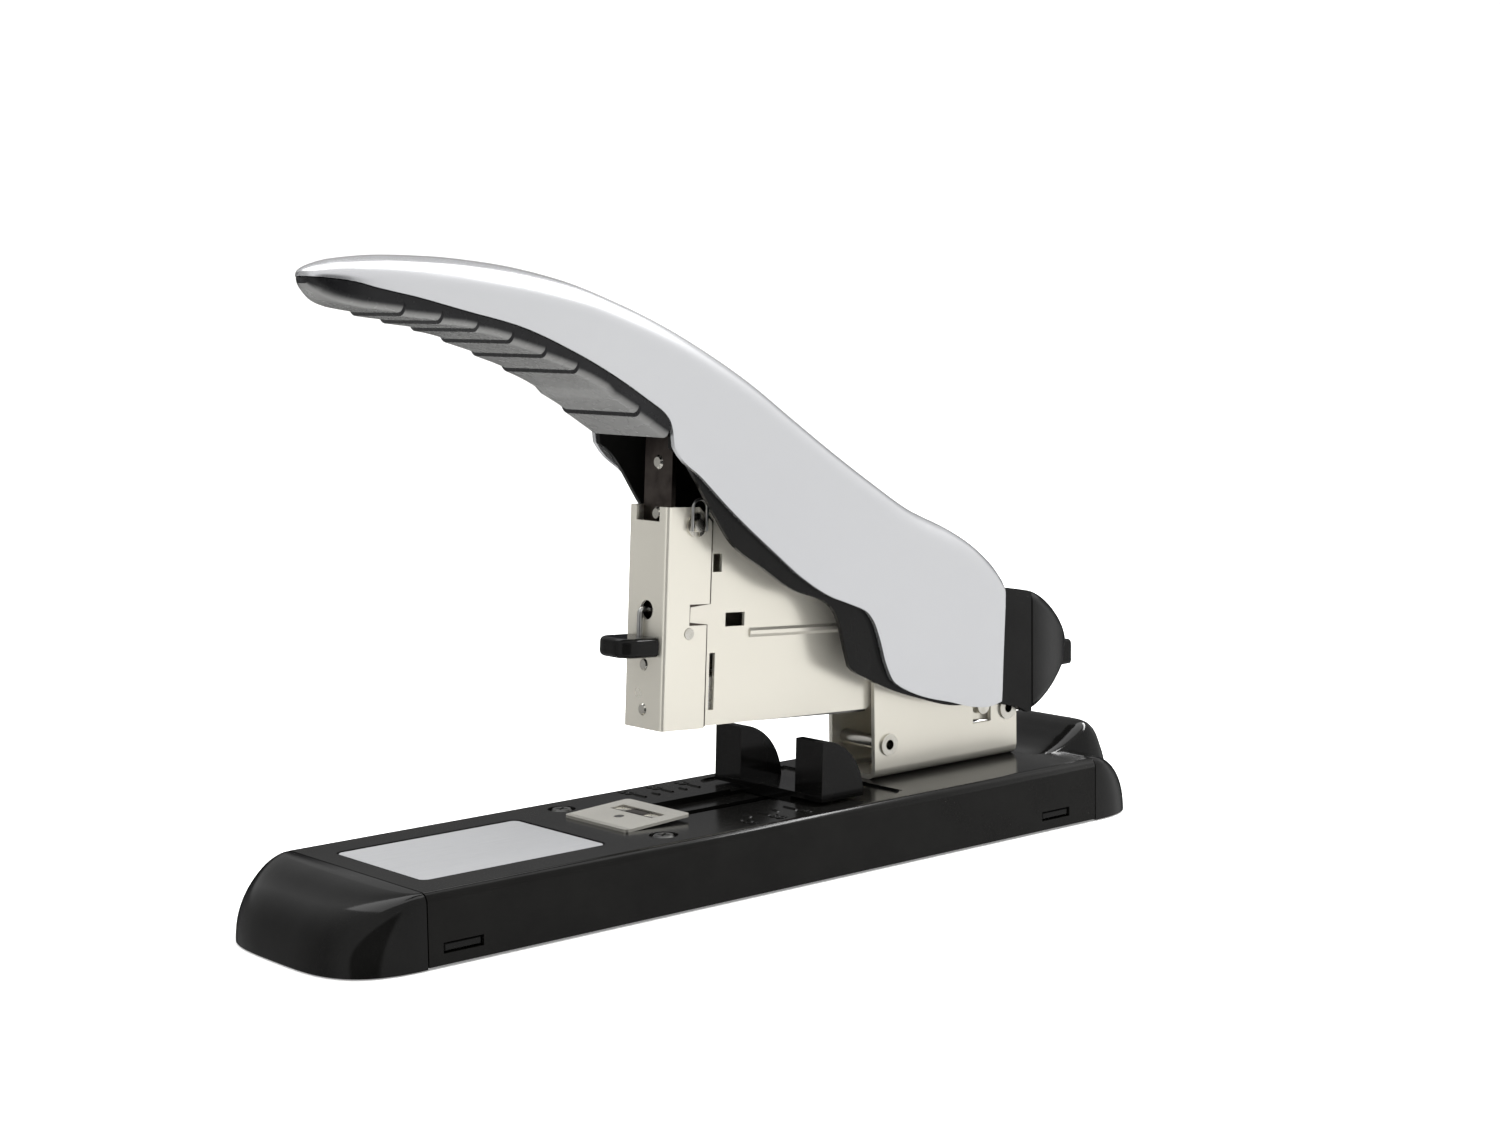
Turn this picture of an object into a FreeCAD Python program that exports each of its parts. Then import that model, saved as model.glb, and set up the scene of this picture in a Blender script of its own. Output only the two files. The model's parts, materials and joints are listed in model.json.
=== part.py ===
import FreeCAD, Part

import math
import os

import Sketcher
from FreeCAD import Placement, Rotation, Vector

# A heavy-duty stapler with a long reach: a folded steel base with an anvil and a sliding paper
# guide, a nickel-plated head hinged at the rear on a U bracket, and a long curved handle that
# pushes a driver blade down the front of the head.
#
# Frame: +X from the nose to the hinge, +Y to the side, +Z up from the table, in millimetres.
# The origin is the middle of the footprint, on the table.
# The head's own pieces are drawn upright ("head frame") and then turned about the head pivot
# by head_lean, because the head rests with its nose a little raised.

SIZES = {
    # base
    "base_length": 242.6,
    "base_front": -122.0,
    "base_width": 67.2,
    "base_top": 19.3,
    "skirt_bottom": 0.7,
    "base_sheet": 1.2,
    "base_bend": 2.4,
    "front_cap_length": 24.0,
    "rear_cap_length": 25.4,
    "cap_bottom": 0.3,
    "front_window": 4.3,
    "rear_window": 11.6,
    "clip_window_length": 12.0,
    "clip_window_height": 2.8,
    "clip_window_low": 3.5,
    "fit_gap": 0.05,
    "running_gap": 0.06,
    "label_front": -114.7,
    "label_length": 57.4,
    "label_width": 41.2,
    "label_depth": 0.5,
    "cover_sheet": 1.4,
    "foot_radius": 6.0,
    "foot_height": 0.9,
    "tongue_reach": 33.2,
    # anvil
    "anvil_front": -45.6,
    "anvil_length": 22.7,
    "anvil_width": 28.2,
    "anvil_sheet": 0.8,
    "anvil_land": 2.0,
    "anvil_rise": 1.1,
    "staple_line": -30.5,
    "staple_crown": 13.2,
    "screw_place": -39.7,
    "screw_spread": 46.0,
    "screw_head_radius": 3.1,
    # guide track and depth scale
    "track_front": -20.0,
    "track_rear": 47.0,
    "track_width": 21.0,
    "track_depth": 1.7,
    "track_slot": 4.0,
    "park_front": 12.0,
    "park_width": 56.0,
    "park_depth": 0.7,
    "scale_first": -12.9,
    "scale_pitch": 5.0,
    "tick_depth": 0.3,
    # paper guide
    "guide_front": 17.0,
    "guide_length": 16.0,
    "fin_inner": 12.0,
    "fin_width": 11.5,
    "fin_top": 36.7,
    # bracket
    "bracket_front": 50.5,
    "bracket_rear": 110.7,
    "bracket_width": 20.0,
    "bracket_sheet": 1.4,
    "bracket_bend": 3.0,
    "bracket_front_top": 51.5,
    "bracket_rear_top": 33.6,
    "pivot_place": 106.5,
    "pivot_height": 34.2,
    "pivot_radius": 2.6,
    "stop_place": 56.0,
    "stop_height": 29.3,
    "stop_radius": 2.3,
    "rivet_bore": 1.5,
    # head, in its own upright frame
    "head_lean": 3.5,
    "head_front": -28.8,
    "head_bottom": 35.6,
    "head_top": 97.3,
    "sleeve_width": 17.2,
    "sleeve_sheet": 0.8,
    "sleeve_depth": 15.4,
    "sleeve_bend": 1.4,
    "frame_width": 15.4,
    "frame_sheet": 1.0,
    "bead_length": 46.4,
    "bead_height": 0.6,
    "core_width": 11.2,
    "core_top": 49.0,
    "core_rear": 83.0,
    "strip_length": 30.0,
    # driver, in the head frame
    "blade_width": 12.6,
    "blade_front": -26.6,
    "blade_sheet": 1.0,
    "link_width": 12.0,
    "link_sheet": 1.5,
    "link_top": 121.0,
    "driver_stroke": 17.4,
    # loader and pusher, in the head frame
    "rod_height": 55.0,
    "rod_radius": 2.0,
    "pusher_front": 5.9,
    "pusher_length": 12.0,
    # rear housing and loader cover
    "housing_front": 92.0,
    "housing_rear": 114.4,
    "housing_width": 26.0,
    "housing_wall": 1.7,
    "cover_front": 114.8,
    "cover_rear": 140.4,
    "cover_low": 32.4,
    "cover_high": 69.8,
    # handle
    "handle_front": -131.9,
    "handle_rear": 98.6,
    "handle_width": 36.0,
    "shell_wall": 1.4,
    "liner_wall": 1.5,
    "grip_rear": -30.8,
    "handle_pin_place": 96.0,
    "handle_pin_height": 36.0,
    "handle_pin_radius": 2.5,
    "lever_width": 12.4,
    "lever_sheet": 1.2,
    "lever_nose": 129.7,
}

doc = FreeCAD.newDocument("long_reach_stapler")
sheet = doc.addObject("Spreadsheet::Sheet", "Sizes")
for row, (alias, value) in enumerate(SIZES.items(), start=1):
    sheet.set("A%d" % row, alias)
    sheet.set("B%d" % row, str(value))
    sheet.setAlias("B%d" % row, alias)
doc.recompute()

finished = []


def size(name):
    """Returns one driving dimension from the sheet."""
    return float(sheet.get(name))


def worked_out(expression):
    """Returns the number that an expression over the sheet gives now."""
    return float(sheet.evalExpression(expression))


# ---------------------------------------------------------------- sketch and feature helpers


def new_body(label):
    """Makes an empty PartDesign body for one piece and keeps it in the list to be written."""
    body = doc.addObject("PartDesign::Body", label)
    body.Label = label
    finished.append(body)
    return body


def sketch_on(body, role, name, offset="0"):
    """Makes a sketch on one of the body's origin planes, moved along its normal by offset."""
    plane = next(item for item in body.Origin.OriginFeatures if item.Role == role)
    sketch = body.newObject("Sketcher::SketchObject", name)
    sketch.AttachmentSupport = [(plane, "")]
    sketch.MapMode = "FlatFace"
    sketch.setExpression("AttachmentOffset.Base.z", offset)
    return sketch


def bind_point(sketch, geometry, end, across, up):
    """Fixes one end of a sketch line, or a circle's centre, to two expressions."""
    for kind, expression in (("DistanceX", across), ("DistanceY", up)):
        distance = worked_out(expression)
        index = sketch.addConstraint(Sketcher.Constraint(kind, -1, 1, geometry, end, distance))
        sketch.setExpression("Constraints[%d]" % index, expression)


def rectangle(sketch, left, right, low, high):
    """Draws a rectangle whose four sides are bound to expressions."""
    first = sketch.GeometryCount
    corners = [(left, low), (right, low), (right, high), (left, high)]
    points = [Vector(worked_out(across), worked_out(up), 0) for across, up in corners]
    for index in range(4):
        sketch.addGeometry(Part.LineSegment(points[index], points[(index + 1) % 4]), False)
    for index in range(4):
        after = first + (index + 1) % 4
        sketch.addConstraint(Sketcher.Constraint("Coincident", first + index, 2, after, 1))
    for index, direction in enumerate(("Horizontal", "Vertical", "Horizontal", "Vertical")):
        sketch.addConstraint(Sketcher.Constraint(direction, first + index))
    bind_point(sketch, first, 1, left, low)
    bind_point(sketch, first + 2, 1, right, high)


def circle(sketch, across, up, radius):
    """Draws a circle whose centre and radius are bound to expressions."""
    centre = Vector(worked_out(across), worked_out(up), 0)
    geometry = sketch.addGeometry(Part.Circle(centre, Vector(0, 0, 1), worked_out(radius)), False)
    bind_point(sketch, geometry, 3, across, up)
    constraint = Sketcher.Constraint("Radius", geometry, worked_out(radius))
    index = sketch.addConstraint(constraint)
    sketch.setExpression("Constraints[%d]" % index, radius)


def polygon(sketch, corners):
    """Draws a closed outline of straight lines through corners given as expressions."""
    first = sketch.GeometryCount
    count = len(corners)
    points = [Vector(worked_out(across), worked_out(up), 0) for across, up in corners]
    for index in range(count):
        sketch.addGeometry(Part.LineSegment(points[index], points[(index + 1) % count]), False)
    for index in range(count):
        after = first + (index + 1) % count
        sketch.addConstraint(Sketcher.Constraint("Coincident", first + index, 2, after, 1))
    for index, (across, up) in enumerate(corners):
        bind_point(sketch, first + index, 1, across, up)


def draw(sketch, curves):
    """Adds a closed chain of ready-made curves to a sketch and joins their ends."""
    first = sketch.GeometryCount
    count = len(curves)
    for curve in curves:
        sketch.addGeometry(curve, False)
    for index in range(count):
        here = first + index
        after = first + (index + 1) % count
        leaving, arriving = shared_ends(sketch, here, after)
        sketch.addConstraint(Sketcher.Constraint("Coincident", here, leaving, after, arriving))


def shared_ends(sketch, here, after):
    """Says which ends, 1 or 2, of two sketch curves lie on each other."""
    pairs = [(leaving, arriving) for leaving in (1, 2) for arriving in (1, 2)]
    return min(pairs, key=lambda pair: sketch.getPoint(here, pair[0]).distanceToPoint(
        sketch.getPoint(after, pair[1])))


def pad(body, sketch, length):
    """Pads a sketch half to each side of its plane."""
    feature = body.newObject("PartDesign::Pad", "Pad")
    feature.Profile = sketch
    feature.Midplane = True
    feature.setExpression("Length", length)
    return feature


def pad_up(body, sketch, length):
    """Pads a sketch to one side of its plane, along its normal."""
    feature = body.newObject("PartDesign::Pad", "Pad")
    feature.Profile = sketch
    feature.setExpression("Length", length)
    return feature


def pocket(body, sketch, length):
    """Cuts a sketch out of the body, half of the length to each side of its plane."""
    doc.recompute()
    before = body.Shape.Volume
    feature = body.newObject("PartDesign::Pocket", "Pocket")
    feature.Profile = sketch
    feature.Midplane = True
    feature.setExpression("Length", length)
    doc.recompute()
    if not body.Shape.Volume < before - 1e-6:
        raise RuntimeError("a pocket cuts nothing from " + body.Label)
    return feature


def round_edges(body, radius, wanted):
    """Fillets the edges of a body's newest shape that the test picks out."""
    doc.recompute()
    tip = body.Tip
    names = []
    for index, edge in enumerate(tip.Shape.Edges, start=1):
        if wanted(edge):
            names.append("Edge%d" % index)
    fillet = body.newObject("PartDesign::Fillet", "Fillet")
    fillet.Base = (tip, names)
    fillet.setExpression("Radius", radius)
    doc.recompute()
    return fillet


def is_upright(edge):
    """True for a straight edge along Z."""
    low, high = edge.BoundBox.ZMin, edge.BoundBox.ZMax
    flat = edge.BoundBox.XLength < 1e-4 and edge.BoundBox.YLength < 1e-4
    return flat and high - low > 1e-3


def shape_piece(label, shape):
    """Makes a piece from a shape that neither a body nor a primitive suits."""
    feature = doc.addObject("Part::Feature", label)
    feature.Label = label
    feature.Shape = Part.makeCompound([shape]) if shape.ShapeType == "Solid" else shape
    finished.append(feature)
    return feature


def lean(piece):
    """Turns a piece from the upright head frame to the head's resting angle."""
    pivot = Vector(size("pivot_place"), 0, size("pivot_height"))
    turn = Rotation(Vector(0, 1, 0), size("head_lean"))
    piece.Placement = Placement(Vector(0, 0, 0), turn, pivot)
    return piece


def arc(first, middle, last):
    """A sketch arc through three points given as pairs."""
    return Part.Arc(*[Vector(x, y, 0) for x, y in (first, middle, last)])


def rounded_rectangle(sketch, left, right, half_width, corner):
    """Draws a rectangle about the X axis with four rounded corners."""
    draw(sketch, [
        line((left + corner, -half_width), (right - corner, -half_width)),
        corner_arc((right - corner, -half_width + corner), corner, -90, 0),
        line((right, -half_width + corner), (right, half_width - corner)),
        corner_arc((right - corner, half_width - corner), corner, 0, 90),
        line((right - corner, half_width), (left + corner, half_width)),
        corner_arc((left + corner, half_width - corner), corner, 90, 180),
        line((left, half_width - corner), (left, -half_width + corner)),
        corner_arc((left + corner, -half_width + corner), corner, 180, 270),
    ])


def line(first, last):
    """A sketch line between two points given as pairs."""
    return Part.LineSegment(Vector(first[0], first[1], 0), Vector(last[0], last[1], 0))


def smooth_curve(points):
    """A sketch spline through points given as pairs."""
    spline = Part.BSplineCurve()
    spline.interpolate([Vector(x, y, 0) for x, y in points])
    return spline


def corner_arc(centre, radius, start_degrees, end_degrees):
    """A sketch arc about a centre, from one angle to another, counter-clockwise."""
    middle = (start_degrees + end_degrees) / 2
    places = []
    for degrees in (start_degrees, middle, end_degrees):
        angle = math.radians(degrees)
        places.append((centre[0] + radius * math.cos(angle), centre[1] + radius * math.sin(angle)))
    return arc(*places)


# ---------------------------------------------------------------- base


def folded_channel(half_width, low, high, sheet_metal, bend, opens_down):
    """Curves of a U section folded from sheet, its web at the top or at the bottom."""
    inner_bend = bend - sheet_metal
    inside = half_width - sheet_metal
    web, free = (high, low) if opens_down else (low, high)
    way = 1 if opens_down else -1
    outer_centre = web - way * bend
    lean_in = math.sqrt(0.5)
    points_out = bend * lean_in
    points_in = inner_bend * lean_in
    centre = half_width - bend
    return [
        line((-half_width, free), (-half_width, outer_centre)),
        arc((-half_width, outer_centre), (-centre - points_out, outer_centre + way * points_out),
            (-centre, web)),
        line((-centre, web), (centre, web)),
        arc((centre, web), (centre + points_out, outer_centre + way * points_out),
            (half_width, outer_centre)),
        line((half_width, outer_centre), (half_width, free)),
        line((half_width, free), (inside, free)),
        line((inside, free), (inside, outer_centre)),
        arc((inside, outer_centre), (centre + points_in, outer_centre + way * points_in),
            (centre, web - way * sheet_metal)),
        line((centre, web - way * sheet_metal), (-centre, web - way * sheet_metal)),
        arc((-centre, web - way * sheet_metal),
            (-centre - points_in, outer_centre + way * points_in), (-inside, outer_centre)),
        line((-inside, outer_centre), (-inside, free)),
        line((-inside, free), (-half_width, free)),
    ]


def make_base_channel():
    body = new_body("base_channel")
    section = sketch_on(body, "YZ_Plane", "Section", "Sizes.base_front")
    draw(section, folded_channel(size("base_width") / 2, size("skirt_bottom"), size("base_top"),
                                 size("base_sheet"), size("base_bend"), True))
    pad_up(body, section, "Sizes.base_length")
    # The pressed track hangs below the top sheet, so its floor is padded on first.
    floor = sketch_on(body, "XY_Plane", "TrackFloor", "Sizes.base_top - Sizes.base_sheet - 1.4")
    rectangle(floor, "Sizes.track_front - 1.2", "Sizes.track_rear + 1.2",
              "-Sizes.track_width / 2 - 1.2", "Sizes.track_width / 2 + 1.2")
    pad_up(body, floor, "1.5")
    track = sketch_on(body, "XY_Plane", "Track", "Sizes.base_top")
    rectangle(track, "Sizes.track_front", "Sizes.track_rear",
              "-Sizes.track_width / 2", "Sizes.track_width / 2")
    pocket(body, track, "2 * Sizes.track_depth")
    park = sketch_on(body, "XY_Plane", "Park", "Sizes.base_top")
    rounded_rectangle(park, size("park_front"), size("track_rear") - 0.5,
                      size("park_width") / 2, 6.0)
    pocket(body, park, "2 * Sizes.park_depth")
    label = sketch_on(body, "XY_Plane", "LabelRecess", "Sizes.base_top")
    label_rear = size("label_front") + size("label_length")
    rounded_rectangle(label, size("label_front") - 0.6, label_rear + 0.6,
                      size("label_width") / 2 + 0.6, 2.6)
    pocket(body, label, "2 * Sizes.label_depth")
    slot = sketch_on(body, "XY_Plane", "Slot", "Sizes.base_top - Sizes.track_depth")
    rectangle(slot, "Sizes.track_front + 4", "Sizes.track_rear - 1",
              "-Sizes.track_slot / 2", "Sizes.track_slot / 2")
    pocket(body, slot, "10")
    for side in ("1", "-1"):
        holes = sketch_on(body, "XY_Plane", "ScrewSeat", "Sizes.base_top")
        circle(holes, "Sizes.screw_place", side + " * Sizes.screw_spread / 2",
               "Sizes.screw_head_radius + 0.9")
        pocket(body, holes, "1.6")
        bore = sketch_on(body, "XY_Plane", "ScrewBore", "Sizes.base_top")
        circle(bore, "Sizes.screw_place", side + " * Sizes.screw_spread / 2", "1.6")
        pocket(body, bore, "10")
    rivets = sketch_on(body, "XY_Plane", "RivetBores", "Sizes.base_top")
    for along in ("12", "48"):
        circle(rivets, "Sizes.bracket_front + " + along, "0", "2 + Sizes.fit_gap")
    pocket(body, rivets, "10")
    windows = sketch_on(body, "XZ_Plane", "ClipWindows")
    rear_window = "Sizes.base_front + Sizes.base_length - Sizes.rear_window"
    for left in ("Sizes.base_front + Sizes.front_window",
                 rear_window + " - Sizes.clip_window_length"):
        rectangle(windows, left, left + " + Sizes.clip_window_length", "Sizes.clip_window_low",
                  "Sizes.clip_window_low + Sizes.clip_window_height")
    pocket(body, windows, "Sizes.base_width + 10")
    for side in (1, -1):
        make_scale_ticks(body, side)
    return body


def make_scale_ticks(body, side):
    """Cuts the paper-depth ticks beside the track: long every second one, short between."""
    ticks = sketch_on(body, "XY_Plane", "Ticks", "Sizes.base_top")
    for index in range(5):
        reach = 5.5 if index % 2 == 0 else 3.5
        place = "Sizes.scale_first + %d * Sizes.scale_pitch" % index
        near = "%d * 18.5" % side
        far = "%d * %s" % (side, 18.5 + reach)
        low, high = (near, far) if side > 0 else (far, near)
        rectangle(ticks, place + " - 0.4", place + " + 0.4", low, high)
    rectangle(ticks, "Sizes.track_rear - 1.4", "Sizes.track_rear - 0.6",
              "%d * 23 - 3" % side, "%d * 23 + 3" % side)
    pocket(body, ticks, "2 * Sizes.tick_depth")


def cap_outline(length, height):
    """Curves of an end cap's level outline at a height above the table, nose at -length."""
    half_width = size("base_width") / 2
    top = size("base_top")
    bend = size("base_bend")
    over = max(0.0, height - (top - bend))
    half_width -= bend - math.sqrt(max(bend * bend - over * over, 0.0))
    reach = math.sqrt(1 - (height / (top * 1.02)) ** 2.2)
    nose = length * reach
    shoulder = nose * 0.62
    shoulder_width = half_width - 5 * reach
    start = nose * 0.22
    return [
        line((0, half_width), (0, -half_width)),
        line((0, -half_width), (-start, -half_width)),
        arc((-start, -half_width), (-shoulder * 0.74, -half_width + 1.5 * reach),
            (-shoulder, -shoulder_width)),
        arc((-shoulder, -shoulder_width), (-nose, 0), (-shoulder, shoulder_width)),
        arc((-shoulder, shoulder_width), (-shoulder * 0.74, half_width - 1.5 * reach),
            (-start, half_width)),
        line((-start, half_width), (0, half_width)),
    ]


def make_end_cap(label, length, window, ramp):
    """A glossy domed cap that closes one end of the channel, with clip tongues inside it."""
    body = new_body(label)
    heights = [size("cap_bottom"), 5.0, 10.0, 14.0, 17.0, 18.5, size("base_top")]
    levels = []
    for index, height in enumerate(heights):
        level = sketch_on(body, "XY_Plane", "Level%d" % index, str(height))
        draw(level, cap_outline(length, height))
        levels.append(level)
    loft = body.newObject("PartDesign::AdditiveLoft", "Dome")
    loft.Profile = levels[0]
    loft.Sections = levels[1:]
    for side in ("1", "-1"):
        tongue = sketch_on(body, "XZ_Plane", "Tongue", "%s * (Sizes.base_width / 2 - 1.9)" % side)
        rectangle(tongue, "-1", window + " + Sizes.clip_window_length + 1.2",
                  "Sizes.clip_window_low - 1.2",
                  "Sizes.clip_window_low + Sizes.clip_window_height + 1.2")
        pad(body, tongue, "0.9")
        nub = sketch_on(body, "XZ_Plane", "Nub",
                        "%s * (Sizes.tongue_reach + Sizes.base_width / 2 - 1.9) / 2" % side)
        rectangle(nub, window + " + 0.3", window + " + Sizes.clip_window_length - 0.3",
                  "Sizes.clip_window_low + 0.3",
                  "Sizes.clip_window_low + Sizes.clip_window_height - 0.3")
        pad(body, nub, "Sizes.tongue_reach - Sizes.base_width / 2 + 1.9")
    if ramp:
        make_ramp(body)
    return body


def make_ramp(body):
    """The raised scoop behind the bracket, drawn in the mirrored cap frame."""
    top = size("base_top")
    ridge = -15.8
    side_view = sketch_on(body, "XZ_Plane", "Ramp")
    draw(side_view, [
        line((9.0, top + 0.05), (0.0, top + 0.05)),
        line((0.0, top + 0.05), (0.0, 8.0)),
        line((0.0, 8.0), (-19.0, 8.0)),
        line((-19.0, 8.0), (-18.9, 23.6)),
        arc((-18.9, 23.6), (-18.0, 26.1), (ridge, 27.0)),
        arc((ridge, 27.0), (-3.5, 22.1), (9.0, top + 0.05)),
    ])
    pad(body, side_view, "38")


def make_front_cap():
    cap = make_end_cap("front_end_cap", size("front_cap_length"),
                       "Sizes.front_window", False)
    cap.Placement = Placement(Vector(size("base_front"), 0, 0), Rotation())


def make_rear_cap():
    cap = make_end_cap("rear_end_cap", size("rear_cap_length"),
                       "Sizes.rear_window", True)
    joint = size("base_front") + size("base_length")
    cap.Placement = Placement(Vector(joint, 0, 0), Rotation(Vector(0, 0, 1), 180))


def make_label_plate():
    body = new_body("label_plate")
    outline = sketch_on(body, "XY_Plane", "Outline", "Sizes.base_top - Sizes.label_depth")
    rounded_rectangle(outline, size("label_front"), size("label_front") + size("label_length"),
                      size("label_width") / 2, 2.0)
    pad_up(body, outline, "0.3")


def make_bottom_cover():
    body = new_body("bottom_cover")
    outline = sketch_on(body, "XY_Plane", "Outline", "Sizes.foot_height")
    rectangle(outline, "Sizes.base_front + 0.5", "Sizes.base_front + Sizes.base_length - 0.5",
              "-Sizes.base_width / 2 + 2.6", "Sizes.base_width / 2 - 2.6")
    pad_up(body, outline, "Sizes.cover_sheet")
    round_edges(body, "3", is_upright)


def make_rubber_feet():
    body = new_body("rubber_feet")
    for place in ("Sizes.base_front + 14", "Sizes.base_front + Sizes.base_length - 14"):
        for side in ("1", "-1"):
            foot = sketch_on(body, "XY_Plane", "Foot")
            circle(foot, place, side + " * (Sizes.base_width / 2 - 12)", "Sizes.foot_radius")
            pad_up(body, foot, "Sizes.foot_height")


def group_of(label, shapes):
    """One piece made of several separate solids, such as a pair of screws."""
    return shape_piece(label, Part.makeCompound(shapes))


def make_base_screws():
    seat = size("base_top") - 0.8
    radius = size("screw_head_radius")
    screws = []
    for side in (1, -1):
        foot = Vector(size("screw_place"), side * size("screw_spread") / 2, seat)
        head = Part.makeCone(radius, radius * 0.82, 0.9, foot)
        shank = Part.makeCylinder(1.5, 7.0, foot.sub(Vector(0, 0, 7.0)))
        screw = head.fuse(shank)
        for turn in (35, 125):
            bar = Part.makeBox(3.4, 0.7, 0.6, Vector(-1.7, -0.35, 0))
            bar.Placement = Placement(foot.add(Vector(0, 0, 0.45)), Rotation(Vector(0, 0, 1), turn))
            screw = screw.cut(bar)
        screws.append(screw)
    group_of("base_screws", screws)


def make_anvil():
    """The bent steel anvil sheet, flat at its front and raised behind, held by one rivet."""
    plate = new_body("anvil_plate")
    side_view = sketch_on(plate, "XZ_Plane", "Section")
    rear = "Sizes.anvil_front + Sizes.anvil_length"
    polygon(side_view, [
        ("Sizes.anvil_front", "Sizes.base_top"),
        ("Sizes.anvil_front + Sizes.anvil_land", "Sizes.base_top"),
        (rear, "Sizes.base_top + Sizes.anvil_rise"),
        (rear, "Sizes.base_top + Sizes.anvil_rise + Sizes.anvil_sheet"),
        ("Sizes.anvil_front + Sizes.anvil_land", "Sizes.base_top + Sizes.anvil_sheet"),
        ("Sizes.anvil_front", "Sizes.base_top + Sizes.anvil_sheet"),
    ])
    pad(plate, side_view, "Sizes.anvil_width")
    round_edges(plate, "1.6", is_upright)
    above = "Sizes.base_top + 2 * Sizes.anvil_rise"
    recess = sketch_on(plate, "XY_Plane", "ClinchRecess", above)
    rectangle(recess, "Sizes.staple_line - 2.4", "Sizes.staple_line + 2.4",
              "-Sizes.staple_crown / 2 - 2.8", "Sizes.staple_crown / 2 + 2.8")
    pocket(plate, recess, "2.0")
    pockets = sketch_on(plate, "XY_Plane", "ClinchPockets", above)
    for side in ("1", "-1"):
        middle = side + " * Sizes.staple_crown / 2"
        rectangle(pockets, "Sizes.staple_line - 1.4", "Sizes.staple_line + 1.4",
                  middle + " - 2.2", middle + " + 2.2")
    pocket(plate, pockets, "2.4")
    rivet_place = "Sizes.staple_line - 6.5"
    bore = sketch_on(plate, "XY_Plane", "RivetBore", "Sizes.base_top")
    circle(bore, rivet_place, "0", "1.4 + Sizes.fit_gap")
    pocket(plate, bore, "10")
    rivet = new_body("anvil_rivet")
    round_head = sketch_on(rivet, "XY_Plane", "Head", "Sizes.base_top")
    circle(round_head, rivet_place, "0", "1.4")
    pad_up(rivet, round_head, "1.1")


# ---------------------------------------------------------------- bracket on the base


def make_pivot_bracket():
    body = new_body("pivot_bracket")
    section = sketch_on(body, "YZ_Plane", "Section", "Sizes.bracket_front")
    draw(section, folded_channel(size("bracket_width") / 2, size("base_top"),
                                 size("bracket_front_top"), size("bracket_sheet"),
                                 size("bracket_bend"), False))
    pad_up(body, section, "Sizes.bracket_rear - Sizes.bracket_front")
    slope = sketch_on(body, "XZ_Plane", "TopSlope")
    polygon(slope, [
        ("Sizes.bracket_front + 10", "Sizes.bracket_front_top"),
        ("Sizes.handle_pin_place - 14", "Sizes.handle_pin_height + 4.5"),
        ("Sizes.bracket_rear", "Sizes.bracket_rear_top"),
        ("Sizes.bracket_rear + 5", "Sizes.bracket_rear_top"),
        ("Sizes.bracket_rear + 5", "Sizes.bracket_front_top + 5"),
        ("Sizes.bracket_front + 10", "Sizes.bracket_front_top + 5"),
    ])
    pocket(body, slope, "Sizes.bracket_width + 10")
    notch = sketch_on(body, "XZ_Plane", "HandlePinNotch")
    rectangle(notch, "Sizes.handle_pin_place - 4.4", "Sizes.handle_pin_place + 3.4",
              "Sizes.handle_pin_height - 5", "Sizes.handle_pin_height + 8")
    pocket(body, notch, "Sizes.bracket_width + 10")
    bores = sketch_on(body, "XZ_Plane", "PinBores")
    circle(bores, "Sizes.stop_place", "Sizes.stop_height", "Sizes.stop_radius + Sizes.fit_gap")
    circle(bores, "Sizes.pivot_place", "Sizes.pivot_height",
           "Sizes.pivot_radius + Sizes.fit_gap")
    pocket(body, bores, "Sizes.bracket_width + 10")
    rivets = sketch_on(body, "XY_Plane", "RivetBores", "Sizes.base_top")
    for along in ("12", "48"):
        circle(rivets, "Sizes.bracket_front + " + along, "0", "2 + Sizes.fit_gap")
    pocket(body, rivets, "10")


def hollow_rivet(label, along, height, radius, half_width):
    """A tube across the bracket with a rolled flange at each end."""
    start = Vector(along, -half_width, height)
    across = Vector(0, 1, 0)
    tube = Part.makeCylinder(radius, 2 * half_width, start, across)
    for side in (1, -1):
        low = half_width if side > 0 else -half_width - 0.7
        flange = Part.makeCylinder(radius + 0.9, 0.7, Vector(along, low, height), across)
        tube = tube.fuse(flange)
    bore = Part.makeCylinder(size("rivet_bore"), 2 * half_width + 4,
                             start.sub(Vector(0, 2, 0)), across)
    return shape_piece(label, tube.cut(bore).removeSplitter())


def make_bracket_pins():
    half_width = size("bracket_width") / 2
    hollow_rivet("bracket_front_pin", size("stop_place"), size("stop_height"),
                 size("stop_radius"), half_width)
    hollow_rivet("head_pivot_pin", size("pivot_place"), size("pivot_height"),
                 size("pivot_radius"), half_width)


def make_bracket_rivets():
    floor_top = size("base_top") + size("bracket_sheet")
    rivets = []
    for along in (12.0, 48.0):
        place = Vector(size("bracket_front") + along, 0, 0)
        tail_low = size("base_top") - size("base_sheet") - 1.1
        shank = Part.makeCylinder(2.0, floor_top - tail_low, place.add(Vector(0, 0, tail_low)))
        head = Part.makeCylinder(3.6, 1.0, place.add(Vector(0, 0, floor_top)))
        tail = Part.makeCylinder(3.4, 1.0, place.add(Vector(0, 0, tail_low)))
        rivets.append(shank.fuse([head, tail]))
    group_of("bracket_rivets", rivets)


# ---------------------------------------------------------------- paper guide


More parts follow.
